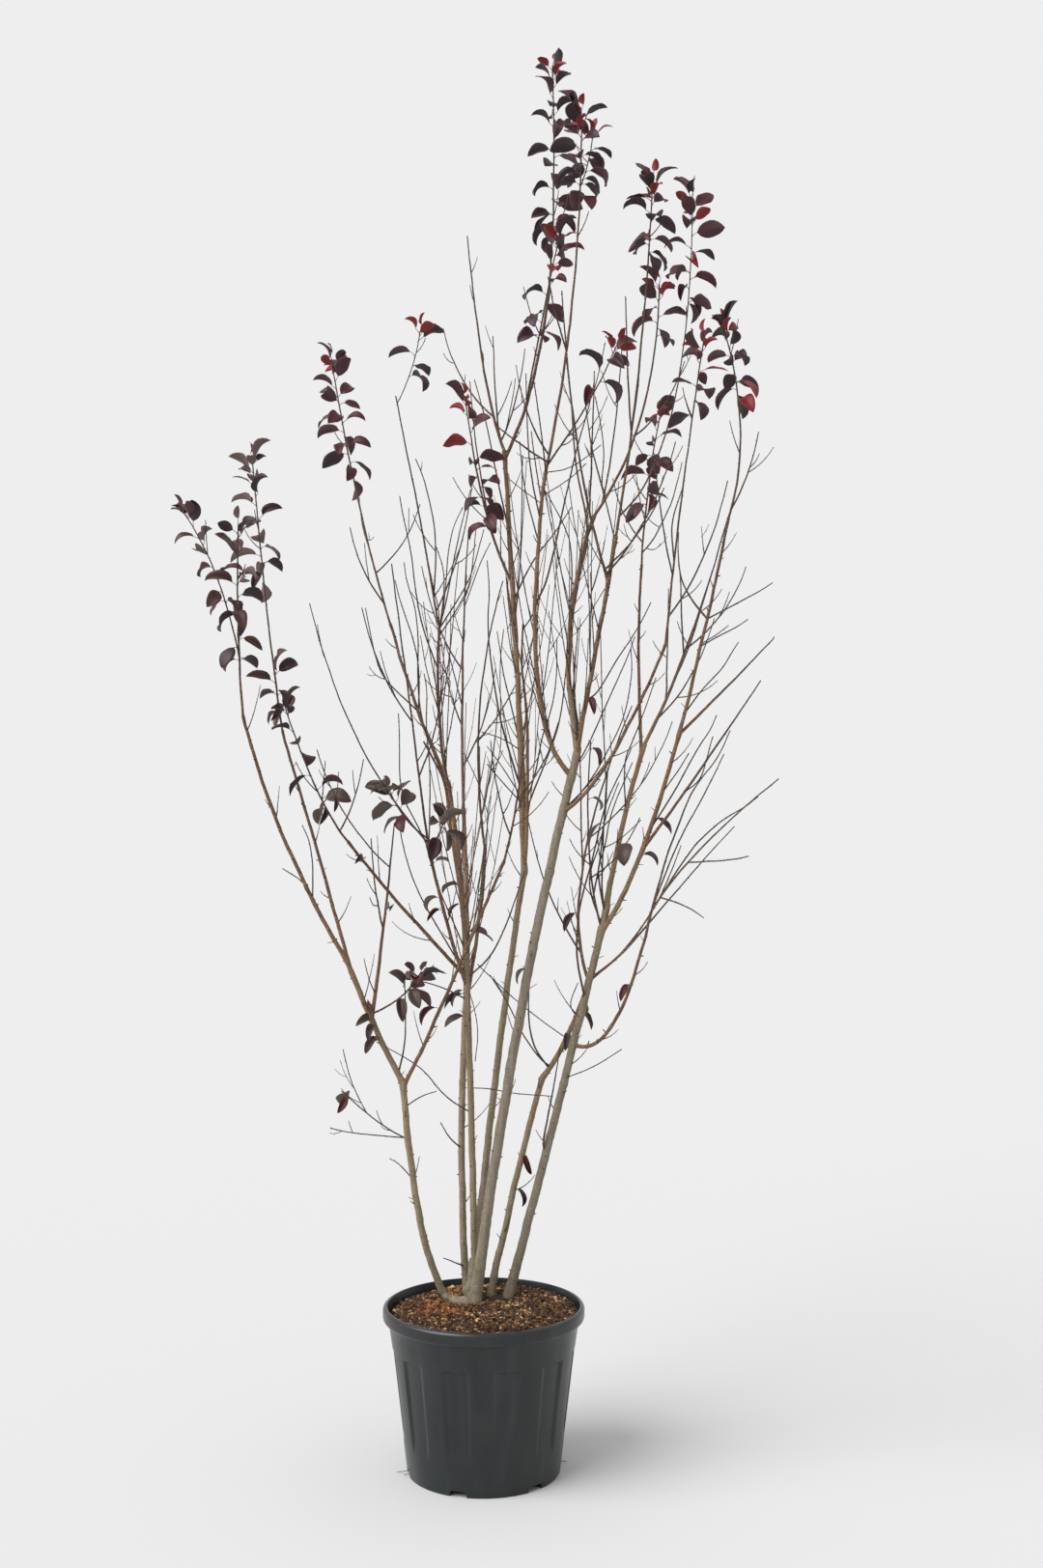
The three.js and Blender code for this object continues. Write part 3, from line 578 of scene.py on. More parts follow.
# %% The boughs, each from a limb that carries it, at its tip or at a height
BOUGHS = {
  "bough_1_left": ["stem_1", "tip", [-258, -50, 1060], [-326, -80, 1244], 6.5, 5.5],
  "bough_1_right": ["stem_1", 925, [-110, -70, 1100], [50, -70, 1476], 4.5, 3.2],
  "bough_1_outer": ["bough_1_left", "tip", [-480, -130, 1500], [-559, -160, 1820], 4.6, 3.2],
  "bough_1_inner": ["bough_1_left", 1205, [-380, -10, 1415], [-491, 20, 1791], 4.2, 2.8],
  "bough_2_main": ["stem_2", "tip", [-45, 200, 1370], [-57, 240, 1597], 6.5, 4.5],
  "bough_2_right": ["stem_2", 1095, [-15, 225, 1290], [-2, 265, 1490], 5, 3.5],
  "bough_3_main": ["stem_3", "tip", [-52, 55, 1440], [-88, 60, 1660], 6.5, 4.6],
  "bough_3_left": ["stem_3", 1185, [-190, 0, 1345], [-324, -60, 1523], 4.2, 3],
  "bough_3_inner": ["stem_3", 1160, [-95, -10, 1330], [-131, -45, 1502], 4.2, 3.2],
  "bough_3_tall": ["bough_3_main", "tip", [-170, 105, 1830], [-238, 150, 2062], 4.2, 3],
  "bough_3_kinked": ["bough_3_main", 1630, [-125, 0, 1830], [-106, -40, 2033], 3.8, 2.8],
  "bough_4_leader": ["stem_4", "tip", [88, 160, 1880], [48, 170, 2499], 6.3, 4.3],
  "bough_4_top": ["bough_4_leader", 2480, [125, 140, 2620], [160, 110, 2886], 3.6, 2.8],
  "bough_5_left": ["stem_5", 1680, [76, -10, 1800], [149, -60, 2405], 5.6, 4],
  "bough_5_mid": ["stem_5", "tip", [168, 60, 2040], [271, 80, 2322], 6, 4],
  "bough_5_right": ["stem_5", 1722, [265, -30, 1950], [317, -60, 2252], 5, 3.6],
  "bough_5_outer": ["stem_5", 1592, [295, -50, 1650], [430, -130, 1989], 4.5, 3],
  "bough_6_bend": ["stem_6", "tip", [205, 172, 1000], [262, 190, 1160], 6.2, 4.8],
  "bough_7_main": ["stem_7", "tip", [330, 125, 1540], [400, 150, 1760], 6.5, 5],
  "bough_7_up": ["bough_7_main", 1735, [380, 185, 1960], [396, 200, 2217], 4, 2.8],
  "bough_7_right": ["stem_7", 1290, [390, 60, 1445], [474, 20, 1780], 6, 4.5],
  "bough_7_right_up": ["bough_7_right", "tip", [535, 0, 2010], [591, -20, 2303], 4.2, 3],
  "bough_7_hook": ["stem_7", 1015, [322, 0, 978], [401, -60, 1354], 4.5, 3],
}
print("boughs:", len(BOUGHS))

# %% The masses of long shoots, those of the first three stems
# Each has its carrier, its leader's pull and tip, and runs of leaves: from, to, how many.
# A whip has its start along the leader, its tip and its leaves, and may have where they
# begin along it and a pull of its own. Then come how many twigs it has and how far they reach.
MASSES = {
  "foliage_1_outer": {
    "on": ["bough_1_outer", "tip"], "leader": [[-572, -180, 2010], [-556, -250, 2250]],
    "leaves": [[0.3, 1, 11]],
    "whips": [[0.33, [-690, -200, 2288], 10, 0.25, [-598, -190, 2150]]]},
  "foliage_1_inner": {
    "on": ["bough_1_inner", "tip"], "leader": [[-535, 35, 2080], [-570, 60, 2460]],
    "leaves": [[0.06, 0.24, 5], [0.55, 1, 13]], "whips": [], "twigs": 2},
  "spray_1_mid": {
    "on": ["bough_1_left", 1095], "leader": [[-235, -100, 1300], [-206, -150, 1569]],
    "whips": [[0.04, [-150, -150, 1210], 7], [0.8, [-383, -190, 1740], 1],
    [0.5, [-240, -400, 1540], 0]], "twigs": 4},
  "spray_1_low": {
    "on": ["stem_1", 800], "leader": [[-270, 30, 835], [-351, 60, 905]], "thick": 2,
    "leaves": [[0.9, 1, 1]], "whips": [[0.6, [-352, 110, 1000], 0],
    [0.05, [-366, -60, 838], 0]], "twigs": 3, "reach": 60},
  "twigs_1_right": {
    "on": ["bough_1_right", "tip"], "leader": [[90, -95, 1620], [104, -150, 1850]],
    "whips": [[0.2, [20, -210, 1760], 0], [0.45, [175, -250, 1800], 0]], "twigs": 4},
  "twigs_2_back": {
    "on": ["bough_2_main", "tip"], "leader": [[-70, 300, 1950], [-47, 340, 2323]],
    "whips": [[0.3, [-130, 560, 2060], 0], [0.15, [20, 600, 1980], 0],
    [0.5, [-170, 350, 2230], 0]], "twigs": 4},
  "twigs_2_right": {
    "on": ["bough_2_right", "tip"], "leader": [[-55, 300, 1850], [43, 300, 2186]],
    "whips": [[0.12, [31, 230, 1863], 0], [0.15, [-20, 430, 1760], 0],
    [0.4, [130, 420, 2080], 0]], "twigs": 4},
  "foliage_3_left": {
    "on": ["bough_3_left", "tip"], "leader": [[-400, -80, 1620], [-466, -120, 1841]],
    "leaves": [[0.3, 1, 8]], "whips": [[0.12, [-290, -20, 1720], 0]], "twigs": 3},
  "foliage_3_tall": {
    "on": ["bough_3_tall", "tip"], "leader": [[-335, 195, 2380], [-393, 230, 2744]],
    "leaves": [[0.55, 1, 15]], "whips": [[0.2, [-170, 270, 2380], 0],
    [0.08, [-330, 60, 2290], 0], [0.3, [-350, 500, 2450], 0]], "twigs": 4},
  "foliage_3_kinked": {
    "on": ["bough_3_kinked", "tip"], "leader": [[-150, -60, 2300], [-206, -110, 2577]],
    "whips": [[0.97, [-148, -120, 2726], 4, 0.35],
    [0.15, [-166, 10, 2450], 0, 0, [-97, -20, 2290]], [0.08, [-26, -90, 2366], 0]], "twigs": 4},
  "foliage_3_inner": {
    "on": ["bough_3_inner", "tip"], "leader": [[-165, -90, 1780], [-212, -160, 2174]],
    "whips": [[0.03, [-407, -130, 2085], 0], [0.5, [-262, -380, 2050], 0],
    [0.05, [-215, -150, 1640], 7], [0.0, [-90, -190, 1570], 5], [0.3, [-80, -370, 1900], 0]],
    "twigs": 4},
}
print("masses so far:", len(MASSES))

# %% The masses of the next two stems
MASSES |= {
  "foliage_4_left": {
    "on": ["bough_4_leader", 2165], "leader": [[-5, 130, 2290], [-48, 110, 2613]],
    "leaves": [[0.4, 1, 12]], "whips": [[0.3, [-40, 220, 2685], 0]], "twigs": 3},
  "twigs_4_bare": {
    "on": ["bough_4_leader", "tip"], "leader": [[-8, 185, 2640], [-46, 195, 3047]],
    "whips": [[0.1, [20, 130, 2778], 0], [0.08, [100, 270, 2780], 0],
    [0.25, [-115, 380, 2860], 0]], "twigs": 4},
  "foliage_4_top": {
    "on": ["bough_4_top", "tip"], "leader": [[178, 105, 3120], [168, 100, 3440]],
    "leaves": [[0.22, 1, 22]], "whips": [], "twigs": 2},
  "foliage_4_mid": {
    "on": ["bough_4_top", 2610], "leader": [[135, 20, 2760], [184, 10, 3000]],
    "leaves": [[0.4, 1, 12]], "whips": [], "twigs": 2},
  "foliage_5_tall": {
    "on": ["bough_5_left", "tip"], "leader": [[235, -75, 2810], [233, -100, 3253]],
    "leaves": [[0.76, 1, 13]], "whips": [[0.8, [262, -50, 3215], 5, 0.3],
    [0.05, [85, -160, 2600], 0], [0.02, [311, -190, 2675], 5, 0.6, [250, -150, 2540]],
    [0.03, [40, -380, 2450], 0], [0.35, [150, -390, 2780], 0]], "twigs": 4},
  "foliage_5_mid": {
    "on": ["bough_5_mid", "tip"], "leader": [[425, 55, 2540], [428, 40, 2883]],
    "leaves": [[0.8, 1, 8]], "whips": [[0.06, [345, 150, 2781], 0], [0.1, [250, 180, 2640], 0],
    [0.4, [500, 150, 2720], 0]], "twigs": 4},
  "foliage_5_right": {
    "on": ["bough_5_right", "tip"], "leader": [[385, -90, 2650], [400, -120, 3089]],
    "leaves": [[0.78, 1, 13]], "whips": [[0.06, [502, -40, 3076], 13, 0.76, [497, -50, 2450]],
    [0.3, [330, -230, 2780], 0]], "twigs": 4},
  "twigs_5_right": {
    "on": ["bough_5_right", 2148], "leader": [[212, -130, 2390], [185, -180, 2806]],
    "whips": [[0.03, [450, -170, 2458], 0], [0.05, [405, -400, 2312], 0],
    [0.3, [250, -440, 2560], 0]], "twigs": 4},
  "foliage_5_outer": {
    "on": ["bough_5_outer", "tip"], "leader": [[455, -180, 2300], [511, -220, 2685]],
    "leaves": [[0.76, 1, 8]], "whips": [[0.1, [560, -270, 2350], 0],
    [0.25, [380, -450, 2380], 0]], "twigs": 4},
}
print("masses so far:", len(MASSES))

# %% The masses of the last two stems
MASSES |= {
  "twigs_6_back": {
    "on": ["bough_6_bend", "tip"], "leader": [[175, 240, 1380], [378, 310, 1863]],
    "whips": [[0.5, [250, 560, 1880], 0], [0.6, [500, 520, 1830], 0],
    [0.8, [300, 400, 2080], 0], [0.15, [110, 330, 1560], 0]], "twigs": 4},
  "foliage_7_red": {
    "on": ["bough_7_up", "tip"], "leader": [[405, 215, 2400], [445, 240, 2601]],
    "leaves": [[0.4, 1, 10]], "whips": [[0.08, [520, 450, 2520], 0],
    [0.15, [330, 350, 2460], 0]], "twigs": 4},
  "twigs_7_dark": {
    "on": ["bough_7_main", "tip"], "leader": [[510, 210, 1960], [620, 270, 2338]],
    "whips": [[0.25, [490, 520, 2190], 0], [0.5, [680, 360, 2230], 0],
    [0.15, [580, 200, 2080], 0]], "twigs": 5},
  "foliage_7_right": {
    "on": ["bough_7_right_up", "tip"], "leader": [[655, -10, 2500], [584, 30, 2780]],
    "leaves": [[0.62, 1, 12]], "whips": [[0.05, [650, -120, 2490], 0]], "twigs": 4},
  "twigs_7_fan_low": {
    "on": ["bough_7_hook", "tip"], "leader": [[480, -120, 1500], [686, -200, 1672]],
    "whips": [[0.12, [518, -150, 1346], 0], [0.4, [595, -370, 1500], 0],
    [0.55, [597, -120, 1570], 0], [0.7, [631, -300, 1631], 0]], "twigs": 6},
  "twigs_7_fan_mid": {
    "on": ["bough_7_right", 1500], "leader": [[520, -60, 1690], [655, -120, 1904]],
    "whips": [[0.3, [563, -230, 1728], 0], [0.45, [600, -50, 1788], 0],
    [0.6, [560, -190, 1930], 0]], "twigs": 6},
  "twigs_7_fan_high": {
    "on": ["bough_7_right", "tip"], "leader": [[580, 60, 1880], [719, 90, 2024]],
    "whips": [[0.35, [638, 190, 2016], 0], [0.5, [640, -50, 2055], 0],
    [0.6, [711, 60, 2157], 0]], "twigs": 6},
  "twigs_7_left": {
    "on": ["stem_7", 1300], "leader": [[240, 60, 1460], [262, 70, 1764]], "thick": 3,
    "whips": [[0.25, [300, -20, 1700], 1], [0.35, [372, -90, 1580], 1]], "twigs": 4},
}
print("masses:", len(MASSES))

# %% One limb and what can be asked of it
FLARE_LENGTH = 45

Limb = namedtuple("Limb", "root pull tip thick thin flare across length")


def limb(root, pull, tip, thick, thin, flare=0):
    root, pull, tip = Vector(root), Vector(pull), Vector(tip)
    across = (pull - root).cross(tip - root)
    if across.length < 1:
        across = (tip - root).cross(Vector((0, 1, 0.1)))
    length = (pull - root).length + (tip - pull).length
    return Limb(root, pull, tip, thick, thin, flare, across.normalized(), length)


def point_on(one, t):
    return one.root * (1 - t) ** 2 + one.pull * (2 * t * (1 - t)) + one.tip * t**2


def along(one, t):
    return ((one.pull - one.root) * (1 - t) + (one.tip - one.pull) * t).normalized()


def radius_of(one, t):
    flare = one.flare * math.exp(-t * one.length / FLARE_LENGTH)
    return one.thick + (one.thin - one.thick) * t + flare


def station_at(one, height):
    """Where along its length a limb passes a height, or 1 for its tip."""
    if height == "tip":
        return 1.0
    low, high = 0.0, 1.0
    for _ in range(30):
        middle = (low + high) / 2
        if point_on(one, middle).z < height:
            low = middle
        else:
            high = middle
    return low


# %% Grow the stems and the boughs
BURIED = 20
FLARE_SHARE = 0.4

limbs = {}
for name, (foot, pull, tip, thick, thin) in STEMS.items():
    root = (*foot, GROUND - BURIED)
    limbs[name] = limb(root, pull, tip, thick, thin, thick * FLARE_SHARE)
for name, (carrier, height, pull, tip, thick, thin) in BOUGHS.items():
    root = point_on(limbs[carrier], station_at(limbs[carrier], height))
    limbs[name] = limb(root, pull, tip, thick, thin)
print("stems and boughs grown:", len(limbs))

# %% Rows of beads, which keep each new shoot clear of the others
CLEAR = 3
BEAD_STEP = 7


def beads_of(one):
    count = max(2, math.ceil(one.length / BEAD_STEP))
    stations = [k / count for k in range(count + 1)]
    return [(*point_on(one, t), radius_of(one, t)) for t in stations]


beads = [np.array(beads_of(one)) for one in limbs.values()]
print("beads on stems and boughs:", sum(len(row) for row in beads))


def is_clear(row):
    """Whether every bead of a row keeps its distance from all that has grown so far."""
    others = np.concatenate(beads)
    return all(
        (np.linalg.norm(others[:, :3] - bead[:3], axis=1) > bead[3] + others[:, 3] + CLEAR).all()
        for bead in np.array(row)
    )


# %% The way out of a shoot, and the shoots, twigs and leaves that take it
TWIG_REACH = 130
ROOM_SHARE = 0.8
WHIP_RADIUS = 2.6
TWIG_RADIUS = 1.6
BUD_RADIUS = 1
TWIG_LEAN = 0.6
WHIP_SLANT = Vector((0.7, 0.7, 0.38))
TWIG_PULL = 0.5
TWIG_RUN = 0.8
TWIG_RISE = 0.3
LEAF_LENGTH = 62
LEAF_WIDTH = 31
LOW_LEAF_LEAN = 1.25
TOP_LEAF_LEAN = 0.45
LEAF_DROOP = 0.35
LEAF_TURNS = [0, 1.3, 2.6, 3.9]
GOLDEN_ANGLE = 2.39996

Leaf = namedtuple("Leaf", "root out length width spray share")


def way_out(one, t, angle, lean):
    """The way out from a shoot, at an angle round it and leaning from its own direction."""
    heading = along(one, t)
    side = Quaternion(heading, angle) @ one.across
    return heading * math.cos(lean) + side * math.sin(lean)


def whip(root, tip, thick, own_pull=None):
    """A long shoot that leaves at a slant and then turns up, unless it has its own pull."""
    root, tip = Vector(root), Vector(tip)
    return limb(root, own_pull or root + (tip - root) * WHIP_SLANT, tip, thick, 1.3 * BUD_RADIUS)


def twig(shoot, t, angle, lean, length, thin=BUD_RADIUS):
    root = point_on(shoot, t)
    out = way_out(shoot, t, angle, lean)
    tip = root + out * (length * TWIG_RUN) + Vector((0, 0, length * TWIG_RISE))
    pull = root + out * (length * TWIG_PULL)
    return limb(root, pull, tip, min(TWIG_RADIUS, radius_of(shoot, t) * 0.8), thin)


def leaf(shoot, t, angle, lean, size, spray, share):
    out = way_out(shoot, t, angle, lean)
    out.z -= LEAF_DROOP
    root = point_on(shoot, t)
    return Leaf(root, out.normalized(), LEAF_LENGTH * size, LEAF_WIDTH * size, spray, share)


def leaf_beads(blade):
    wide = blade.width * 0.4
    return [(*(blade.root + blade.out * blade.length * s), wide) for s in (0.25, 0.55, 0.85)]


# %% A mass, and whether what it grows has room
Mass = namedtuple("Mass", "shoots twigs")


def in_space(space, place):
    """Whether a place lies between a space's low and high corners."""
    return all(space[0][k] <= place[k] <= space[1][k] for k in range(3))


def is_apart(row, others):
    """Whether each bead of a row keeps its own width from all the others."""
    return all(math.dist(bead[:3], other[:3]) > bead[3] for bead in row for other in others)


# %% Grow the masses in the order of their table
masses = {}
leaves = []
for number, (name, rule) in enumerate(MASSES.items()):
    roll = seeded(number + 1)
    carrier, height = rule["on"]
    root = point_on(limbs[carrier], station_at(limbs[carrier], height))
    thick = rule.get("thick", radius_of(limbs[carrier], 1) * 0.95)
    leader = limb(root, *rule["leader"], thick, 1.5 * BUD_RADIUS)
    reach = rule.get("reach", TWIG_REACH)
    shoots = [(leader, rule.get("leaves", []))]
    for start, end, count, *rest in rule["whips"]:
        bare = rest[0] if rest else 0.5
        own_pull = rest[1] if len(rest) > 1 else None
        thickest = min(WHIP_RADIUS, radius_of(leader, start) * 0.85)
        shoot = whip(point_on(leader, start), end, thickest, own_pull)
        shoots.append((shoot, [(bare, 1, count)]))
    corners = np.array([root, *rule["leader"], *[row[1] for row in rule["whips"]]])
    room = reach * ROOM_SHARE
    space = (corners.min(axis=0) - room, corners.max(axis=0) + room)
    mine = [bead for shoot, _ in shoots for bead in beads_of(shoot)]
    twigs = []
    for k in range(rule.get("twigs", 3)):
        shoot = shoots[k % len(shoots)][0]
        t = 0.12 + 0.75 * roll()
        length = reach * (1.1 - 0.6 * t) * (0.55 + 0.6 * roll())
        turn = k * GOLDEN_ANGLE + roll()
        side = twig(shoot, t, turn, TWIG_LEAN + 0.35 * roll(), length)
        row = beads_of(side)
        if all(in_space(space, bead) for bead in row[1:]) and is_clear(row[1:]):
            twigs.append(side)
            mine += row
    blades = []
    for spray, (shoot, rows) in enumerate(shoots):
        for start, end, count in rows:
            for k in range(count):
                t = start + (end - start) * (k + 0.6 * roll()) / count
                lean = LOW_LEAF_LEAN + (TOP_LEAF_LEAN - LOW_LEAF_LEAN) * k / count
                size = 0.85 + 0.3 * roll()
                turn = k * GOLDEN_ANGLE + roll()
                for more in LEAF_TURNS:
                    one = leaf(shoot, t, turn + more, lean, size, f"{name}_{spray}", k / count)
                    row = np.array(leaf_beads(one))
                    inside = all(in_space(space, bead) for bead in row)
                    if inside and is_apart(row, blades) and is_clear(row):
                        blades += list(row)
                        leaves.append(one)
                        break
    beads.append(np.array(mine + blades))
    limbs[name] = leader
    masses[name] = Mass([shoot for shoot, _ in shoots], twigs)
print("leaves:", len(leaves), "twigs:", sum(len(mass.twigs) for mass in masses.values()))

# %% [markdown]
# ## Wood
#
# A limb is a round tube that is never quite straight or round. A bevelled curve would do, but
# it can't be lumpy or swell where a side limb leaves. So a flat grid is rolled round each
# path. Limbs that carry on from one another share one path, so that no seam shows.

# %% Paths: evenly spaced stations with a girth at each
BROAD_STRAY, FINE_STRAY = 90, 26
FINE_SHARE = 0.35
HELD_STATIONS = 6


def smooth_path(points, rounds=3):
    """Cuts the corners of a path of (place, radius) stations, keeping its ends."""
    for _ in range(rounds):
        cut = [points[0]]
        for (a, r), (b, s) in zip(points, points[1:]):
            cut.append((a.lerp(b, 0.25), r * 0.75 + s * 0.25))
            cut.append((a.lerp(b, 0.75), r * 0.25 + s * 0.75))
        points = cut + [points[-1]]
    return points


def evenly(points, step):
    """The same path with its stations a step apart."""
    spans = [(b - a).length for (a, _), (b, _) in zip(points, points[1:])]
    reached = np.concatenate([[0], np.cumsum(spans)])
    count = max(3, round(reached[-1] / step))
    wanted = np.linspace(0, reached[-1], count + 1)
    table = np.array([[*place, radius] for place, radius in points])
    columns = [np.interp(wanted, reached, table[:, k]) for k in range(4)]
    return [(Vector(row[:3]), row[3]) for row in np.stack(columns, axis=1)]


def path_of(one, step=6.0):
    count = max(4, round(one.length / step))
    return [(point_on(one, k / count), radius_of(one, k / count)) for k in range(count + 1)]


def wander(path, amount, seed):
    """Lets a path stray a little. It starts and ends where it did."""
    strayed = []
    for k, (place, radius) in enumerate(path):
        hold = min(1.0, k / HELD_STATIONS, (len(path) - 1 - k) / HELD_STATIONS)
        broad = noise.noise_vector(place / BROAD_STRAY + Vector((seed, 0, 0)))
        slight = noise.noise_vector(place / FINE_STRAY + Vector((0, seed, 0)))
        strayed.append((place + (broad + slight * FINE_SHARE) * (amount * hold), radius))
    return strayed


# %% Roll a grid round a path
BLUNT = 0.6
FOOT_SHARE = 0.4
LUMP_WIDTH, FINER_LUMPS = 16, 2.7
SEAM = 0.004


def roll_tube(shape, path, sides, lumps=0.0, ages=None):
    """A closed tube with blunt ends. Its colour follows its girth, or the girths in ages."""
    (first, wide), (last, narrow) = path[0], path[-1]
    heading = [(b[0] - a[0]).normalized() for a, b in zip(path, path[1:])]
    heading.append(heading[-1])
    stations = [(first - heading[0] * wide * BLUNT * FOOT_SHARE, 0.0), *path]
    stations.append((last + heading[-1] * narrow * BLUNT, 0.0))
    heading = [heading[0], *heading, heading[-1]]
    normal = heading[0].orthogonal().normalized()
    frames = []
    for k, way in enumerate(heading):
        if k:
            normal = heading[k - 1].rotation_difference(way) @ normal
        frames.append((normal, way.cross(normal)))
    ages = ages or [radius for _, radius in path]
    ages = [ages[0], *ages, ages[-1]]
    grid = bmesh.ops.create_grid(
        shape, x_segments=sides, y_segments=len(stations) - 1, size=1
    )["verts"]
    girth = shape.verts.layers.float["girth"]
    for vert in grid:
        station = round((vert.co.y + 1) / 2 * (len(stations) - 1))
        turn = math.pi * (vert.co.x + 1)
        place, radius = stations[station]
        normal, side = frames[station]
        spoke = normal * math.cos(turn) + side * math.sin(turn)
        if lumps:
            spot = (place + spoke * radius) / LUMP_WIDTH
            radius *= 1 + lumps * (noise.noise(spot) + 0.5 * noise.noise(spot * FINER_LUMPS))
        vert.co = (place + spoke * radius) * MM
        vert[girth] = ages[station]
    bmesh.ops.remove_doubles(shape, verts=grid, dist=SEAM * MM)


def new_wood():
    """An empty bmesh for tubes, which keeps the girth at each point for the bark's colour."""
    shape = bmesh.new()
    shape.verts.layers.float.new("girth")
    return shape


# %% Which limbs carry on from which, and where side limbs make them swell
continues = {}
for name, (carrier, height, *_) in BOUGHS.items():
    if height == "tip":
        continues.setdefault(carrier, name)
side_roots = {}
for name, rule in [*BOUGHS.items(), *[(name, rule["on"]) for name, rule in MASSES.items()]]:
    carrier, height = rule[:2]
    side_roots.setdefault(carrier, []).append((limbs[name].root, limbs[name].thick))


def stem_of(name):
    """The number of the stem that a limb, mass or whip belongs to."""
    return int(next(part for part in name.split("_") if part.isdigit()))


def chain_from(name):
    """A limb and those that carry on from its tip."""
    chain = [name]
    while chain[-1] in continues:
        chain.append(continues[chain[-1]])
    return chain


print("limbs that carry on from another:", len(continues))

# %% The path of a stem or bough, swollen where side limbs leave it
WOOD_STEP = 4.0
WOOD_STRAY = 2.2
# The next three are counted in stations.
TAPER_REACH = 20
AGE_REACH = 45
FOOT_REACH = 30
# Bark makes every limb fuller than its plain solid, and some limbs more so.
WOOD_GIRTH = 1.12
FULLER = {"bough_4_leader": 1.15, "bough_5_right": 1.15, "bough_4_top": 1.1}
COLLAR_LENGTH = 12
SWELL, SWELL_LENGTH, MOST_SWELL = 0.22, 14, 0.4
KNOT, KNOT_SPACING, KNOT_LEVEL = 0.3, 19, 0.25


def evened(values, reach):
    """A run of values, each the mean of those within reach of it."""
    padded = np.pad(values, reach, mode="edge")
    return np.convolve(padded, np.ones(2 * reach + 1) / (2 * reach + 1), "valid")


def wood_path(chain, collar):
    """The path that a chain of limbs shares, and the girths that its bark's colour goes by."""
    points, slim = [], []
    for name in chain:
        stretch = path_of(limbs[name])[1 if points else 0 :]
        fuller = WOOD_GIRTH * FULLER.get(name, 1.0)
        slim += stretch
        points += [(place, radius * fuller) for place, radius in stretch]
    path = evenly(smooth_path(points, 2), WOOD_STEP)
    slim = evenly(smooth_path(slim, 2), WOOD_STEP)
    path = wander(path, WOOD_STRAY, len(chain[0]) + limbs[chain[0]].root.x)
    roots = [root for name in chain for root in side_roots.get(name, [])]
    radii = np.array([radius for _, radius in path])
    ages = evened(np.array([radius for _, radius in slim]), AGE_REACH).tolist()
    above_foot = np.clip(np.arange(len(radii)) / FOOT_REACH, 0, 1)
    radii += (evened(radii, TAPER_REACH) - radii) * above_foot
    swollen = []
    for k, ((place, _), radius) in enumerate(zip(path, radii)):
        swell = collar * math.exp(-k * WOOD_STEP / COLLAR_LENGTH)
        for root, thick in roots:
            near = math.exp(-(((place - root).length / SWELL_LENGTH) ** 2))
            swell += SWELL * (thick / radius) * near
        spot = Vector((0, limbs[chain[0]].root.x, k * WOOD_STEP / KNOT_SPACING))
        knot = max(0.0, noise.noise(spot) - KNOT_LEVEL)
        swollen.append((place, radius * (1 + min(MOST_SWELL, swell) + KNOT * knot)))
    return swollen, ages


# %% Short spurs: stubs of old shoots, broken or pruned
SHORTEST_SPUR = 3
SPUR_SIDES = 6


def add_spurs(shape, path, roll, spacing, longest, thick=2.2, start=4):
    """Stubs about a spacing apart along a path, from its station start on."""
    k = start + round(spacing * roll() / WOOD_STEP)
    while k < len(path) - 4:
        place, radius = path[k]
        heading = (path[k + 1][0] - place).normalized()
        spoke = Quaternion(heading, 2 * math.pi * roll()) @ heading.orthogonal().normalized()
        way = (spoke + heading * (0.3 + 0.6 * roll())).normalized()
        long = SHORTEST_SPUR + (longest - SHORTEST_SPUR) * roll() ** 2
        stub = [
            (place + way * radius * 0.5, thick * (1 + 0.25 * roll())),
            (place + way * (radius + long * 0.3), thick * 0.75),
            (place + way * (radius + long), thick * (0.45 + 0.2 * roll())),
        ]
        roll_tube(shape, stub, SPUR_SIDES)
        k += round(spacing * (0.5 + roll()) / WOOD_STEP)


# %% [markdown]
# ## Bark finish
#
# Plum bark changes with age, and its age shows in its girth. The old stems are smooth and
# grey-olive, the boughs are warm brown, and last year's shoots are a dark purple-brown with a
# silvery skin. Lenticels, short pale corky dashes, run round the limb, and the skin has fine
# streaks along it. The lenticels are 1 by 4 mm and drawn twice that, so that they still show.

# %% Smooth plum bark, coloured by girth
plum_bark = new_finish("plum_bark", IOR=BARK_IOR)
tree = plum_bark.node_tree
place = add_node(tree, "TexCoord", out="Object")
girth = add_node(tree, "Attribute", out="Fac", attribute_name="girth")
upright = add_node(tree, "Mapping", {"Vector": place, "Scale": (110, 110, 12)})
streaks = add_node(tree, "TexNoise", {"Vector": upright, "Scale": 1.0, "Detail": 5.0})
patches = add_node(tree, "TexNoise", {"Vector": place, "Scale": 14.0, "Detail": 4.0})
uneven = add_node(tree, "Math", {0: patches, 1: 2.4, 2: -1.2}, operation="MULTIPLY_ADD")
age = add_node(tree, "Math", {0: girth, 1: uneven}, operation="ADD")
share = add_node(tree, "MapRange", {"Value": age, "From Min": 1.5, "From Max": 9.5})
stops = [(0.0, "#2c1f18"), (0.22, "#553a2a"), (0.45, "#775a40"), (0.7, "#7d6f57")]
browns = add_node(tree, "ValToRGB", {"Fac": share}, stops=[*stops, (1.0, "#766c5c")])
span = {"From Min": 0.3, "From Max": 0.7, "To Min": 0.72, "To Max": 1.18}
shade = add_node(tree, "MapRange", {"Value": streaks, **span})
streaked = add_node(tree, "VectorMath", {0: browns, 1: shade}, operation="MULTIPLY")
flat = add_node(tree, "Mapping", {"Vector": place, "Scale": (90, 90, 300)})
pores = add_node(tree, "TexVoronoi", {"Vector": flat, "Scale": 1.0, "Randomness": 1.0})
span = {"From Min": 0.16, "From Max": 0.26, "To Min": 0.75, "To Max": 0.0}
lenticel = add_node(tree, "MapRange", {"Value": pores, **span})
mixed = {"Factor": lenticel, 6: streaked, 7: linear("#b19b7c")}
marked = add_node(tree, "Mix", mixed, out=2, data_type="RGBA")
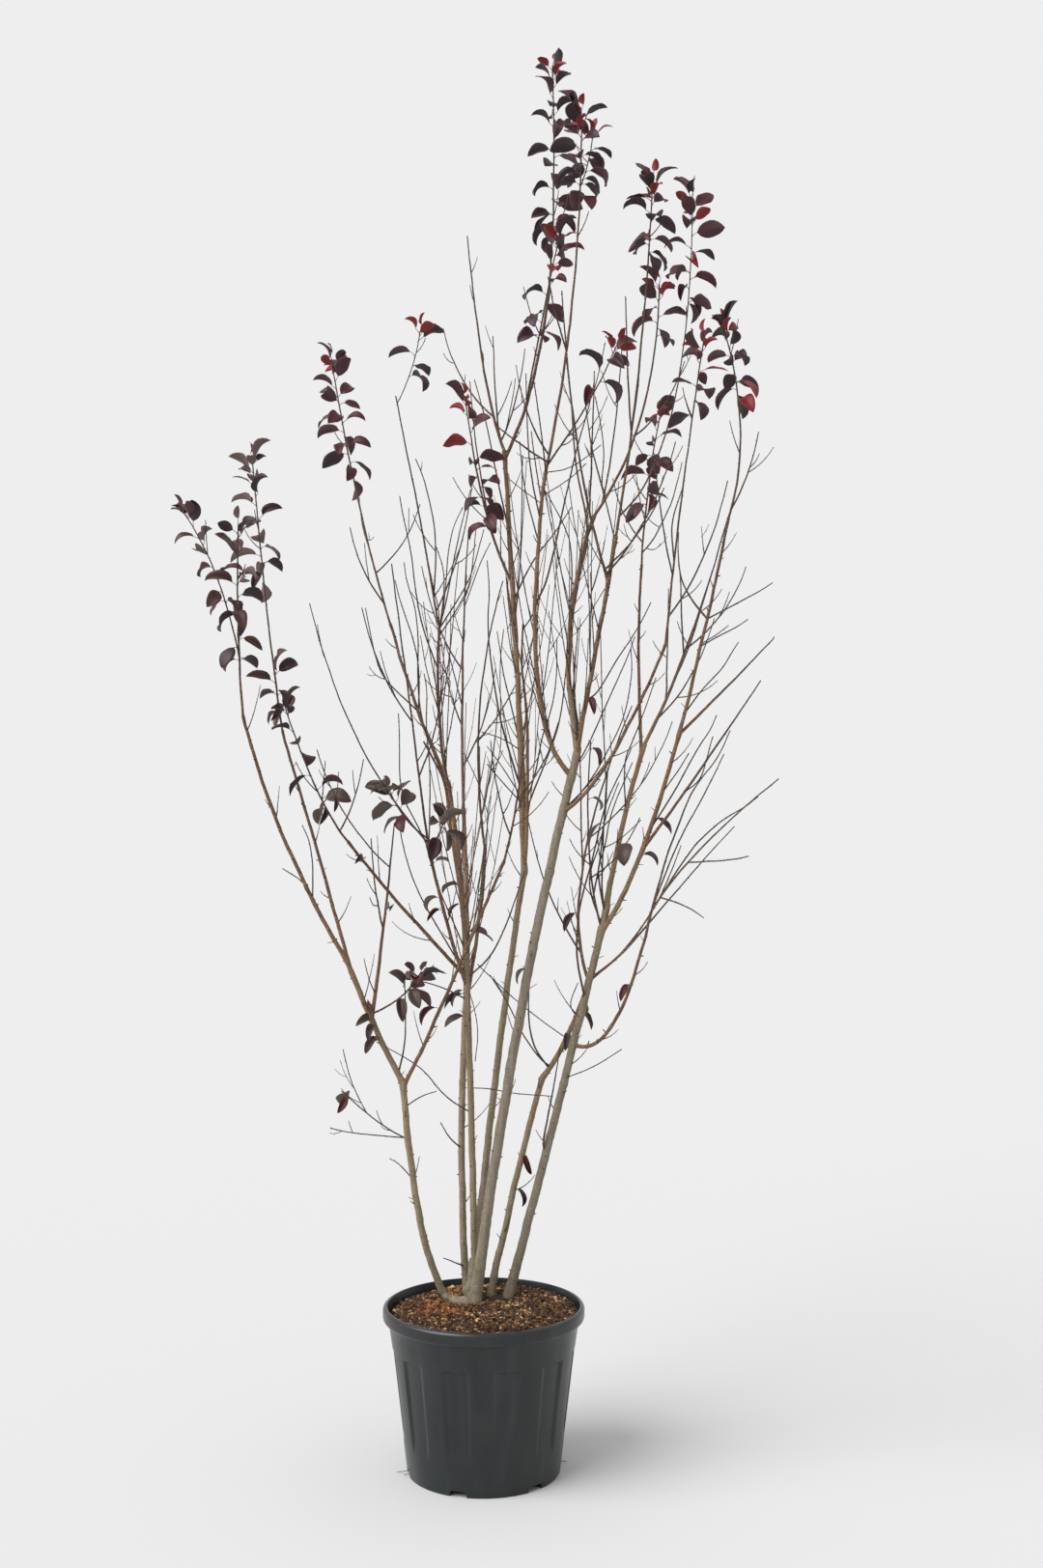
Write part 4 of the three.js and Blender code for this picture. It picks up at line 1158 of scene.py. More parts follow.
sheen = add_node(tree, "MapRange", {"Value": streaks, "To Min": 0.5, "To Max": 0.8})
relief = add_node(tree, "Math", {0: streaks, 1: lenticel}, operation="ADD")
bump = add_node(tree, "Bump", {"Height": relief, "Strength": 0.6, "Distance": 0.7 * MM})
feed(plum_bark, Base_Color=marked, Roughness=sheen, Normal=bump)
print("nodes in the bark:", len(tree.nodes))

# %% The seven stems, each with the boughs that carry on from it
STEM_SIDES, BOUGH_SIDES = 18, 12
WOOD_LUMPS = 0.06
STEM_NUMBERS = range(1, len(STEMS) + 1)

chained = set()
for name in STEMS:
    chain = chain_from(name)
    chained.update(chain)
    shape = new_wood()
    path, ages = wood_path(chain, collar=0.0)
    roll_tube(shape, path, STEM_SIDES, lumps=WOOD_LUMPS, ages=ages)
    stubs, thorns = [seeded(first + len(chained)) for first in (300, 350)]
    add_spurs(shape, path, stubs, spacing=45, longest=6)
    add_spurs(shape, path, thorns, spacing=130, longest=24, thick=1.3, start=FOOT_REACH)
    place_piece("wood_of_" + name, as_mesh(shape, name), [plum_bark], chain)

# %% The side boughs, gathered by the stem that carries them
COLLAR = 0.35

carried_on = {*continues.values()}
for number in STEM_NUMBERS:
    starts = [name for name in BOUGHS if stem_of(name) == number and name not in carried_on]
    if not starts:
        continue
    shape = new_wood()
    covered = []
    for name in starts:
        chain = chain_from(name)
        covered += chain
        path, ages = wood_path(chain, collar=COLLAR)
        roll_tube(shape, path, BOUGH_SIDES, lumps=WOOD_LUMPS, ages=ages)
        stubs, thorns = [seeded(first + number + len(covered)) for first in (400, 450)]
        add_spurs(shape, path, stubs, spacing=60, longest=10)
        add_spurs(shape, path, thorns, spacing=90, longest=22, thick=1.1)
    mesh = as_mesh(shape, f"side_boughs_{number}")
    place_piece(f"side_boughs_{number}", mesh, [plum_bark], covered)

# %% The root crown: old knuckles between the feet, and the first stem lying over the mulch
# Each station has its place and its radius. The age is the girth its bark's colour goes by.
CROWN_AGE = 8.8
CROWN_LUMPS = 0.35
CROWN = {
    "knuckle": [
        (-24, 50, 388, 14), (-28, 72, 396, 18), (-28, 94, 402, 20),
        (-38, 116, 398, 18), (-40, 138, 391, 14), (-35, 152, 386, 11),
    ],
    "web": [(-30, 82, 384, 23), (-31, 86, 412, 18), (-33, 90, 442, 11), (-35, 94, 486, 3)],
    "arm": [
        (-100, 46, 414, 7.5), (-87, 45, 402, 10), (-72, 43, 396, 12),
        (-55, 42, 394, 13), (-36, 44, 392, 14), (-20, 47, 388, 12),
    ],
}
shape = new_wood()
for stations in CROWN.values():
    path = evenly(smooth_path([(Vector(row[:3]), row[3]) for row in stations]), WOOD_STEP)
    roll_tube(shape, path, STEM_SIDES, lumps=CROWN_LUMPS, ages=[CROWN_AGE] * len(path))
place_piece("root_crown", as_mesh(shape, "root_crown"), [plum_bark])

# %% [markdown]
# ## Long shoots
#
# Last year's growth is hundreds of thin whips. Each leader and whip of the growth rule is drawn
# here along its own curve. Between them the plant carries slighter ones, which the packed
# model leaves out. Those that show against the sky are placed one by one, the rest are seeded.

# %% Places as they are seen from the front
VIEW_DISTANCE = 4374
VIEW_X = 91.3
VIEW_HEIGHT = 1660


def from_front(x, z, depth):
    """The place at a depth that is seen in line with x and z at the plant's middle."""
    share = depth / VIEW_DISTANCE
    return Vector((x + (x - VIEW_X) * share, depth, z + (z - VIEW_HEIGHT) * share))


# %% Slight whips at the crown's edges, too thin to be solids
# Each has its carrier and height there, its radius, its tip's depth and the places it passes,
# from its foot up, and a name if others fork from it.
SLIGHT_WHIPS = [
    ("bough_1_left", 960, 2.0, -70, [(-190, 1030), (-190, 1110), (-192, 1190)]),
    ("bough_1_outer", 1385, 1.6, -220, [(-415, 1505), (-440, 1560)]),
    ("bough_1_outer", 1320, 1.7, -60, [(-430, 1420), (-488, 1455)]),
    ("stem_1", 880, 1.6, -60, [(-150, 905), (-115, 915)]),
    ("stem_1", 700, 1.5, 60, [(-205, 740), (-228, 752)]),
    ("stem_3", 850, 1.7, 20, [(-100, 905), (-150, 975), (-260, 1035)]),
    ("stem_2", 748, 1.8, 60, [(-82, 800), (-105, 840)]),
    ("stem_2", 458, 2.2, 70, [(-68, 500), (-98, 511)]),
    ("stem_3", 1130, 1.7, 0, [(-110, 1172), (-190, 1190)]),
    ("stem_3", 1182, 2.2, 10, [(18, 1240), (54, 1316), (77, 1383), (100, 1450)]),
    ("bough_3_tall", 1840, 1.8, 60, [(-235, 1905), (-262, 1955), (-287, 2087)]),
    ("twigs_2_back", 1860, 1.6, 250, [(-76, 1945), (-93, 2000)]),
    ("bough_4_leader", 2290, 2.0, 230, [(34, 2390), (8, 2530), (-23, 2640)]),
    ("bough_4_leader", 2060, 1.8, 100, [(88, 2180), (92, 2330), (94, 2457)]),
    ("bough_5_left", 2290, 1.8, -160, [(112, 2420), (104, 2540), (102, 2655)]),
    ("bough_5_left", 2330, 1.6, -40, [(124, 2440), (115, 2515)]),
    ("bough_5_left", 2240, 1.6, 40, [(96, 2380), (87, 2490)]),
    ("foliage_5_outer", 2180, 1.8, -260, [(452, 2290), (481, 2376)]),
    ("stem_7", 740, 2.6, 40, [(143, 790), (150, 830), (165, 900), (175, 960), (185, 1020)]),
    ("stem_7", 1335, 2.2, 40, [(285, 1400), (288, 1495), (293, 1600), (300, 1700)]),
    ("bough_7_right_up", 2060, 1.8, 20, [(611, 2096), (665, 2125), (700, 2148)]),
    ("twigs_7_dark", 1880, 2.0, 330, [(495, 1981), (532, 2102), (547, 2151)]),
]
print("slight whips so far:", len(SLIGHT_WHIPS))

# %% Slight whips in the crown's middle
SLIGHT_WHIPS += [
    ("bough_3_kinked", 1940, 1.8, -80, [(-150, 2041), (-166, 2132), (-177, 2229),
        (-196, 2310), (-204, 2358)]),
    ("bough_3_kinked", "tip", 1.8, 40, [(-94, 2089), (-80, 2164), (-64, 2250),
        (-48, 2315), (-32, 2374)]),
    ("bough_3_kinked", "tip", 1.4, 80, [(-98, 2080), (-91, 2159), (-86, 2229),
        (-75, 2283), (-51, 2331)]),
    ("bough_3_kinked", "tip", 1.2, -40, [(-91, 2165), (-115, 2234)]),
    ("bough_3_kinked", "tip", 1.3, -60, [(-110, 2089), (-121, 2132), (-129, 2170)]),
    ("bough_3_tall", 1840, 1.8, 40, [(-156, 1928), (-166, 2003), (-199, 2089), (-215, 2154)]),
    ("bough_3_main", 1650, 1.8, 120, [(-150, 1799), (-161, 1906), (-158, 2014),
        (-166, 2089), (-188, 2154), (-193, 2197)]),
    ("bough_3_inner", "tip", 1.6, -120, [(-160, 1560), (-204, 1638), (-204, 1772), (-207, 1831)]),
    ("bough_3_inner", "tip", 1.5, -20, [(-129, 1697), (-140, 1799), (-137, 1885), (-145, 1928)]),
    ("bough_3_kinked", "tip", 1.9, 100, [(-75, 2089), (-37, 2148), (-16, 2213), (0, 2277)]),
    ("bough_3_kinked", 2015, 1.6, -120, [(-75, 2068), (-37, 2132), (-29, 2175), (-19, 2278)]),
    ("twigs_2_back", 2120, 1.3, 260, [(-11, 2191), (16, 2245)]),
    ("bough_4_leader", 1640, 2.4, 60, [(59, 1745), (38, 1826), (22, 1923), (14, 1987),
        (8, 2068), (14, 2121), (8, 2202)]),
    ("bough_4_leader", 1760, 1.8, 250, [(65, 1853), (48, 1923), (40, 1982), (32, 2030)]),
    ("bough_3_main", 1260, 3.0, 20, [(-8, 1340), (3, 1428), (10, 1602)], "fork_3"),
    ("fork_3", 1602, 2.0, 0, [(27, 1692), (43, 1751), (40, 1853), (40, 1960), (48, 2035)]),
    ("fork_3", 1590, 1.8, 80, [(-11, 1659), (-32, 1702), (-48, 1735)]),
    ("bough_4_leader", 1745, 1.1, 60, [(40, 1773), (-5, 1786)]),
    ("bough_4_leader", 1625, 1.5, 240, [(48, 1697), (8, 1751)]),
    ("bough_4_leader", 1610, 1.4, 40, [(43, 1665), (8, 1708)]),
    ("bough_4_leader", 2120, 2.0, 60, [(118, 2202), (172, 2267), (212, 2331)]),
    ("bough_5_left", 2090, 2.4, 20, [(155, 2156), (192, 2325), (226, 2482),
        (262, 2600), (268, 2640)], "fork_5_leafy"),
    ("fork_5_leafy", 2600, 1.4, 60, [(272, 2627), (294, 2730)]),
    ("bough_4_leader", 1400, 4.8, 60, [(103, 1518), (106, 1651), (106, 1750), (104, 1816),
        (99, 1883), (90, 1949), (95, 2048)], "fork_4"),
    ("fork_4", 2040, 1.8, -20, [(118, 2068), (140, 2130)]),
    ("fork_4", 1950, 1.6, 140, [(72, 2040), (60, 2130)]),
    ("bough_4_leader", 1330, 4.4, 220, [(96, 1485), (98, 1584), (97, 1684), (92, 1783),
        (85, 1883), (76, 1982), (64, 2081), (55, 2161)]),
    ("bough_4_leader", 1590, 1.9, 40, [(124, 1676), (140, 1772), (161, 1831),
        (177, 1907), (177, 2014)]),
    ("bough_4_leader", 1570, 2.0, 240, [(140, 1692), (183, 1799), (194, 1880),
        (204, 1987), (210, 2078)]),
    ("bough_5_left", "tip", 1.8, -130, [(147, 2445), (135, 2546), (121, 2639)]),
    ("bough_5_mid", 2150, 2.8, 60, [(260, 2264), (222, 2425), (214, 2566), (200, 2687)]),
    ("bough_5_right", 2240, 1.5, -120, [(301, 2325), (284, 2385), (292, 2446),
        (288, 2506), (270, 2599)]),
    ("bough_5_mid", 2060, 1.6, 120, [(216, 2228), (192, 2296), (150, 2369)]),
    ("bough_5_left", "tip", 1.1, -20, [(212, 2423), (284, 2482)]),
    ("bough_5_left", 2350, 1.1, 20, [(200, 2393), (248, 2437)]),
    ("bough_5_left", 2330, 1.0, -20, [(95, 2371), (59, 2401)]),
]
print("slight whips so far:", len(SLIGHT_WHIPS))

# %% Slight whips on the right, and low down
SLIGHT_WHIPS += [
    ("stem_5", "tip", 2.8, 60, [(228, 1800), (217, 1850), (218, 1936), (229, 2040)], "fork_5"),
    ("fork_5", 2030, 2.0, 20, [(208, 2089), (171, 2243), (146, 2376)]),
    ("fork_5", 2035, 1.8, 120, [(258, 2077), (293, 2133)]),
    ("stem_5", 1690, 1.7, -40, [(249, 1744), (298, 1856), (345, 1960), (366, 2017)]),
    ("stem_5", 1590, 1.8, 60, [(253, 1657), (300, 1739), (341, 1820), (361, 1928), (356, 1990)]),
    ("stem_5", 1595, 1.5, -30, [(266, 1671), (320, 1745), (361, 1820), (388, 1887)]),
    ("stem_7", 1335, 2.2, -20, [(280, 1414), (276, 1461), (293, 1502), (307, 1590),
        (360, 1712)], "fork_7"),
    ("fork_7", 1502, 1.3, 40, [(327, 1522), (381, 1573)]),
    ("stem_7", 1310, 2.2, 90, [(283, 1326), (256, 1400), (256, 1448), (280, 1509),
        (297, 1590), (327, 1664)]),
    ("stem_7", 1130, 2.6, -50, [(239, 1164), (222, 1259), (232, 1367), (266, 1488),
        (293, 1610), (330, 1684), (357, 1745)]),
    ("bough_5_right", 1865, 1.7, -40, [(275, 1878), (320, 1959), (372, 2035), (405, 2100)]),
    ("bough_7_main", 1590, 1.6, 60, [(338, 1712), (361, 1766), (387, 1829), (417, 1918)]),
    ("bough_7_right_up", 1830, 1.7, 60, [(530, 1891), (580, 1941), (602, 1981), (617, 2004)]),
    ("bough_7_right_up", 1995, 1.6, -60, [(566, 2017), (611, 2039), (640, 2059)]),
    ("bough_7_right_up", 2000, 1.3, 60, [(560, 2020), (593, 2044)]),
    ("bough_7_right_up", 2060, 2.4, 40, [(513, 2093), (495, 2120), (477, 2160),
        (470, 2223), (472, 2270)]),
    ("twigs_7_dark", 1985, 2.0, 150, [(479, 2084), (477, 2151), (472, 2205)]),
    ("bough_7_right", 1550, 1.9, -60, [(459, 1636), (495, 1703), (522, 1753),
        (549, 1789), (564, 1827)]),
    ("bough_7_right", 1640, 1.4, -40, [(470, 1690), (497, 1735)]),
    ("bough_7_hook", "tip", 2.2, -140, [(440, 1480), (468, 1548), (495, 1623),
        (522, 1668), (566, 1721), (597, 1790)]),
    ("twigs_7_fan_mid", 1640, 1.4, -200, [(525, 1668), (540, 1722), (555, 1775)]),
    ("bough_7_hook", "tip", 1.8, -220, [(450, 1470), (486, 1548), (522, 1610),
        (557, 1681), (582, 1733)]),
    ("bough_7_hook", "tip", 1.8, -170, [(500, 1500), (549, 1548), (580, 1574),
        (634, 1605), (665, 1630)]),
    ("stem_7", 1178, 3.0, -40, [(326, 1238), (387, 1307), (425, 1352), (516, 1458), (607, 1557)]),
    ("stem_7", 1170, 2.6, 20, [(341, 1254), (410, 1352), (440, 1413), (478, 1511)]),
    ("bough_6_bend", 945, 2.4, 120, [(118, 1026), (108, 1102), (109, 1178), (112, 1240)]),
    ("bough_6_bend", 950, 1.8, 60, [(137, 992), (91, 1056), (61, 1125), (15, 1197)]),
    ("bough_6_bend", 1020, 1.2, 40, [(106, 1110), (15, 1193), (-15, 1223)]),
    ("stem_3", 912, 1.2, 90, [(23, 921), (76, 909), (167, 903)]),
    ("stem_7", 930, 1.2, 60, [(205, 950), (273, 977), (334, 1017)]),
    ("stem_3", 1175, 1.0, 40, [(-11, 1072), (-21, 988)]),
    ("bough_6_bend", 1075, 1.3, 150, [(205, 1125), (228, 1178)]),
    ("stem_3", 1190, 2.0, -60, [(-68, 1238), (-121, 1330), (-167, 1413),
        (-197, 1511), (-204, 1557)]),
    ("bough_3_main", 1250, 1.8, -20, [(-76, 1330), (-110, 1405), (-140, 1511)]),
    ("bough_3_main", 1290, 5.0, -30, [(-49, 1330), (-56, 1398), (-66, 1464), (-75, 1514),
        (-82, 1564), (-87, 1614), (-91, 1647), (-100, 1680), (-116, 1710), (-133, 1740),
        (-146, 1763)]),
]
print("slight whips:", len(SLIGHT_WHIPS))

# %% Whips of the growth rule that a slight whip above stands for, counted from the leader, 0
REDRAWN = {
    "twigs_7_fan_low": (3, 4),
    "twigs_7_fan_mid": (1, 2, 3),
    "twigs_7_fan_high": (1, 2, 3),
}
print("whips of the rule left to slight ones:", sum(len(some) for some in REDRAWN.values()))

# %% Draw the leaders and whips of the rule, by the stem that carries them
BOX_MARGIN, TIP_MARGIN = 1, 2.5
SHOOT_STEP = 7.0
SHOOT_STRAY, WHIP_STRAY = 1.6, 1.2
SHOOT_LUMPS = 0.08
LEADER_SIDES, WHIP_SIDES = 8, 6

low_corner = np.array(cad_low) / MM + BOX_MARGIN
high_corner = np.array(cad_high) / MM - BOX_MARGIN


def in_box(places, margin=0.0):
    """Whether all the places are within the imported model's size, less a margin."""
    rows = np.array(places)
    return (rows > low_corner + margin).all() and (rows < high_corner - margin).all()


def held_in(path):
    """The same path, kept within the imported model's size."""
    low, high = low_corner + TIP_MARGIN, high_corner - TIP_MARGIN
    return [(Vector(np.clip(place, low, high)), radius) for place, radius in path]


lines = []
wood = {number: new_wood() for number in STEM_NUMBERS}
for number, (name, mass) in enumerate(masses.items()):
    for k, shoot in enumerate(mass.shoots):
        if k in REDRAWN.get(name, ()):
            continue
        path = held_in(wander(path_of(shoot, SHOOT_STEP), SHOOT_STRAY, 10 * number + k))
        sides = WHIP_SIDES if k else LEADER_SIDES
        roll_tube(wood[stem_of(name)], path, sides, lumps=SHOOT_LUMPS)
        lines.append(path)
print("leaders and whips of the rule:", len(lines))

# %% Draw the slight whips and join each stem's shoots
WHIP_GIRTH = 1.18
WHIP_TIP = 1.25
# A whip this thick runs beside a bough like a second strand, and tapers to this share.
STRAND_FROM, STRAND_TIP = 4, 0.4

forks = {}


def start_of(carrier, height):
    """Where a slight whip leaves its carrier, and how thick the carrier is there."""
    if carrier in forks:
        return min(forks[carrier], key=lambda station: abs(station[0].z - height))
    t = station_at(limbs[carrier], height)
    return point_on(limbs[carrier], t), radius_of(limbs[carrier], t)


for k, (carrier, height, thick, depth, seen, *named) in enumerate(SLIGHT_WHIPS):
    root, girth_there = start_of(carrier, height)
    strand = thick > STRAND_FROM
    thick = min(thick * WHIP_GIRTH, girth_there * (1.0 if strand else 0.85))
    tip = thick * STRAND_TIP if strand else WHIP_TIP
    points = [(root, thick)]
    for j, (x, z) in enumerate(seen, 1):
        share = j / len(seen)
        place = from_front(x, z, root.y + (depth - root.y) * share)
        points.append((place, thick + (tip - thick) * share))
    path = held_in(wander(evenly(smooth_path(points), SHOOT_STEP), WHIP_STRAY, 500 + k))
    forks.update({name: path for name in named})
    roll_tube(wood[stem_of(carrier)], path, WHIP_SIDES, lumps=SHOOT_LUMPS)
    lines.append(path)
for number, shape in wood.items():
    covered = [name for name in MASSES if stem_of(name) == number]
    mesh = as_mesh(shape, f"shoots_{number}")
    place_piece(f"shoots_{number}", mesh, [plum_bark], covered)

# %% [markdown]
# ## Fine twigs
#
# Each shoot carries twigs, and each long twig a smaller one. The boughs in the middle of the
# crown also send up long thin whips. All could be traced, but there are hundreds and none
# stands out, so they follow the growth rule, carried one order further in the same reach. They
# are too thin for a pattern to show, so each has one plain colour, dealt out limb by limb.

# %% What a twig is drawn as, and in which colour
TWIG_COLOURS = {"dark": "#2d2019", "brown": "#3f2d22", "grey": "#4d4034"}
COLOUR_TURNS = ["dark", "brown", "dark", "grey", "brown"]
TWIG_STEP = 9.0
TWIG_STRAY = 1.3
TWIG_SIDES = 5
TWIG_MARGIN = 3

fine = {colour: new_wood() for colour in TWIG_COLOURS}
colour_of = {name: COLOUR_TURNS[k % len(COLOUR_TURNS)] for k, name in enumerate(limbs)}


def add_twig(one, name, seed):
    """Draws a twig in its limb's colour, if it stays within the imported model's size."""
    path = wander(path_of(one, TWIG_STEP), TWIG_STRAY, seed)
    if not in_box([place for place, _ in path], TWIG_MARGIN):
        return False
    roll_tube(fine[colour_of[name]], path, TWIG_SIDES)
    lines.append(path)
    return True


print("limbs that deal out a twig colour:", len(colour_of))

# %% Seeded twigs on the shoots, and smaller twigs on them
FINER_PER_SHOOT = 1.5
SHOOT_LENGTH = 400
LEAFY_SHARE = 0.4
SIDE_LENGTH = 110
FORKED_FROM = 60
TWIG_TIP, FINEST_TIP = 0.7, 0.6
# The last stem's bare masses are drawn with slight whips and need no finer twigs.
UNTWIGGED = "twigs_7"

roll = seeded(777)
made = 0
for name, mass in masses.items():
    if name not in REDRAWN:
        for one in mass.twigs:
            add_twig(one, name, made)
            made += 1
    leafy = name.startswith("foliage")
    share = LEAFY_SHARE if leafy else 1
    if name.startswith(UNTWIGGED):
        share = 0
    for shoot in mass.shoots[1 if leafy else 0 :]:
        per_length = FINER_PER_SHOOT * share * shoot.length / SHOOT_LENGTH
        count = round(per_length * (0.6 + 0.8 * roll()))
        for k in range(count):
            t = 0.06 + 0.86 * (k + roll()) / count
            length = SIDE_LENGTH * (1.15 - 0.8 * t) * (0.35 + 0.85 * roll())
            lean = 0.35 + 0.4 * roll()
            one = twig(shoot, t, k * GOLDEN_ANGLE + 2 * roll(), lean, length, TWIG_TIP)
            made += add_twig(one, name, made)
            if length > FORKED_FROM:
                side = twig(one, 0.3 + 0.4 * roll(), 6 * roll(), 0.8, length * 0.4, FINEST_TIP)
                made += add_twig(side, name, made)
print("twigs on the shoots:", made)

# %% Long whips from the boughs in the crown's middle, and twigs on every bough and stem
WHIPPY = ["bough_2_main", "bough_3_main", "bough_3_kinked", "bough_4_leader"]
WHIPPY += ["bough_5_left", "bough_5_mid", "bough_5_right"]
WHIPS_PER_BOUGH = 14
SHORTEST_WHIP, MORE_WHIP = 180, 260
SHORTEST_TWIG, MORE_TWIG = 25, 110
SHORTEST_LOW_TWIG, MORE_LOW_TWIG = 20, 90
SIDEWAYS_SHARE = 0.25
TWIG_SPACING = 120
TWIGS_PER_STEM = 5

for name in BOUGHS:
    one = limbs[name]
    for k in range(WHIPS_PER_BOUGH if name in WHIPPY else 0):
        t = 0.05 + 0.6 * (k + roll()) / WHIPS_PER_BOUGH
        length = SHORTEST_WHIP + MORE_WHIP * roll()
        long = twig(one, t, k * GOLDEN_ANGLE + roll(), 0.3 + 0.3 * roll(), length)
        if abs(long.tip.x - long.root.x) > length * SIDEWAYS_SHARE:
            continue
        made += add_twig(long, name, made)
        side = twig(long, 0.35 + 0.4 * roll(), 6 * roll(), 0.5, length * 0.35, FINEST_TIP)
        made += add_twig(side, name, made)
    count = round(one.length / TWIG_SPACING)
    for k in range(count):
        t = 0.1 + 0.85 * (k + roll()) / count
        length = SHORTEST_TWIG + MORE_TWIG * roll() ** 2
        side = twig(one, t, k * GOLDEN_ANGLE + roll(), 0.55 + 0.5 * roll(), length, TWIG_TIP)
        made += add_twig(side, name, made)
for name in STEMS:
    one = limbs[name]
    for k in range(TWIGS_PER_STEM):
        t = 0.3 + 0.68 * (k + roll()) / TWIGS_PER_STEM
        length = SHORTEST_LOW_TWIG + MORE_LOW_TWIG * roll() ** 2
        side = twig(one, t, 6.3 * roll(), 0.7 + 0.5 * roll(), length, thin=0.8)
        made += add_twig(side, name, made)
print("fine twigs:", made)

# %% Root hairs that have grown out through the foot's notches: bearing and reach
ROOT_HAIRS = [(189, 26), (195, 12), (249, 7), (10, 20), (14, 12)]
for k, (bearing, reach) in enumerate(ROOT_HAIRS):
    turn = math.radians(bearing)
    way = Vector((math.cos(turn), math.sin(turn), 0))
    hair = [(way * (notch_end - 3) + Vector((0, 0, 8)), 1.0)]
    hair.append((way * (FOOT_RADIUS + reach) + Vector((0, 0, 5)), 0.7))
    path = wander(evenly(smooth_path(hair), WOOD_STEP), 1.0, 900 + k)
    roll_tube(fine["dark"], path, TWIG_SIDES)
print("root hairs:", len(ROOT_HAIRS))

# %% Join the twigs, each colour apart
for colour, shape in fine.items():
    finish = new_finish("young_skin_" + colour, TWIG_COLOURS[colour], Roughness=0.6, IOR=BARK_IOR)
    place_piece("twigs_" + colour, as_mesh(shape, "twigs_" + colour), [finish])

# %% [markdown]
# ## Buds
#
# Plum buds are pointed and sit along every shoot, one to each old leaf's place, each further
# round than the last. They are about 4 mm long, so modelling their scales would show nothing,
# and a small cone each is enough.

# %% A bud at every node of every shoot
BUD_SPACING = 32
BUD_SIDES = 5
BUD_LENGTH = 3.8
BUD_FOOT, BUD_POINT = 1.1, 0.2
BUD_LEAN = 0.7
BUD_SEAT, BUD_OUT = 0.9, 0.25
BUDDED_BELOW = 3.4

shape = bmesh.new()
bmesh.ops.create_cone(
    shape,
    cap_ends=True,
    segments=BUD_SIDES,
    radius1=BUD_FOOT,
    radius2=BUD_POINT,
    depth=BUD_LENGTH,
)
bud, bud_faces, bud_finishes = take_apart(shape)
buds = []
for path in lines:
    step = (path[1][0] - path[0][0]).length
    stride = max(2, round(BUD_SPACING / step))
    for k in range(2, len(path) - 1, stride):
        place, radius = path[k]
        if radius > BUDDED_BELOW:
            continue
        heading = (path[k + 1][0] - path[k - 1][0]).normalized()
        side = Quaternion(heading, k * GOLDEN_ANGLE) @ heading.orthogonal().normalized()
        way = (heading + side * BUD_LEAN).normalized()
        turn = np.array(way.to_track_quat("Z", "X").to_matrix())
        centre = place + side * radius * BUD_SEAT + way * BUD_LENGTH * BUD_OUT
        buds.append(bud @ turn.T + np.array(centre))
bud_scale = new_finish("bud_scale", "#57392c", Roughness=0.6, IOR=BARK_IOR)
mesh = join_copies("buds", bud_faces, bud_finishes, buds)
place_piece("buds", mesh, [bud_scale])

# %% [markdown]
# ## Leaves
#
# A cherry plum leaf is an oval of 6 cm with a drawn-out tip, folded along its midrib, curled
# at its edges and arched along its length. Late in the year it hangs from a thin stalk that
# rises and arches over. Its upper side is dark purple with a soft sheen and its underside is
# duller and greyer. The youngest at a tip are small and red, and the oldest, low down, have
# faded to brown. A flat card with a picture would need an image, so one thin blade is made
# from a grid and bent for each leaf.

# %% One flat blade, 1 long and reaching 1 to each side
BLADE_THICKNESS = 0.012

shape = bmesh.new()
grid = bmesh.ops.create_grid(shape, x_segments=6, y_segments=8, size=1)["verts"]
for vert in grid:
    share = (vert.co.y + 1) / 2
    outline = math.sin(math.pi * share**0.88) ** 0.8 if 0 < share < 1 else 0.0
    vert.co = (share, vert.co.x * outline, 0)
bmesh.ops.remove_doubles(shape, verts=shape.verts[:], dist=0.001)
bmesh.ops.solidify(shape, geom=shape.faces[:], thickness=BLADE_THICKNESS)
bmesh.ops.recalc_face_normals(shape, faces=shape.faces[:])
for face in shape.faces:
    face.material_index = 0 if face.normal.z > 0 else 1
blade, blade_faces, blade_finishes = take_apart(shape)
print("faces to a leaf:", len(blade_faces))


# %% Bend the blade: fold it on its midrib, curl its edges, arch it, and lay it out on its way
BROAD = 1.2
RIPPLE, RIPPLES = 0.06, 10
EDGE_CURL, EDGE_CURLS, CURL_BEND = 0.2, 5, 2.5


def bent_blade(one, fold, arch, spin, curl):
    """The blade's points as one leaf has them, in millimetres."""
    length = one.length
    share, across, depth = blade.T
    pitch = arch * (0.5 - share)
    forward = length / arch * (math.sin(arch / 2) - np.sin(pitch))
    height = length / arch * (np.cos(pitch) - math.cos(arch / 2))
    reach = across * one.width * BROAD / 2
    ripple = RIPPLE * one.width * np.sin(share * RIPPLES + one.length) * across**2
    turned_up = curl * np.abs(across) ** CURL_BEND * one.width * EDGE_CURL
    turned_up = turned_up * np.sin(share * EDGE_CURLS + one.length)
    raised = np.abs(reach) * math.sin(fold) + ripple + turned_up + depth * length
    forward = forward - raised * np.sin(pitch)
    height = height + raised * np.cos(pitch)
    bent = np.stack([forward, reach * math.cos(fold), height], axis=1)
    side = one.out.cross(Vector((0.01, 0, 1))).normalized()
    side = Quaternion(one.out, spin) @ side
    directions = np.array([one.out, side, side.cross(one.out)])
    return bent @ directions + np.array(one.root)


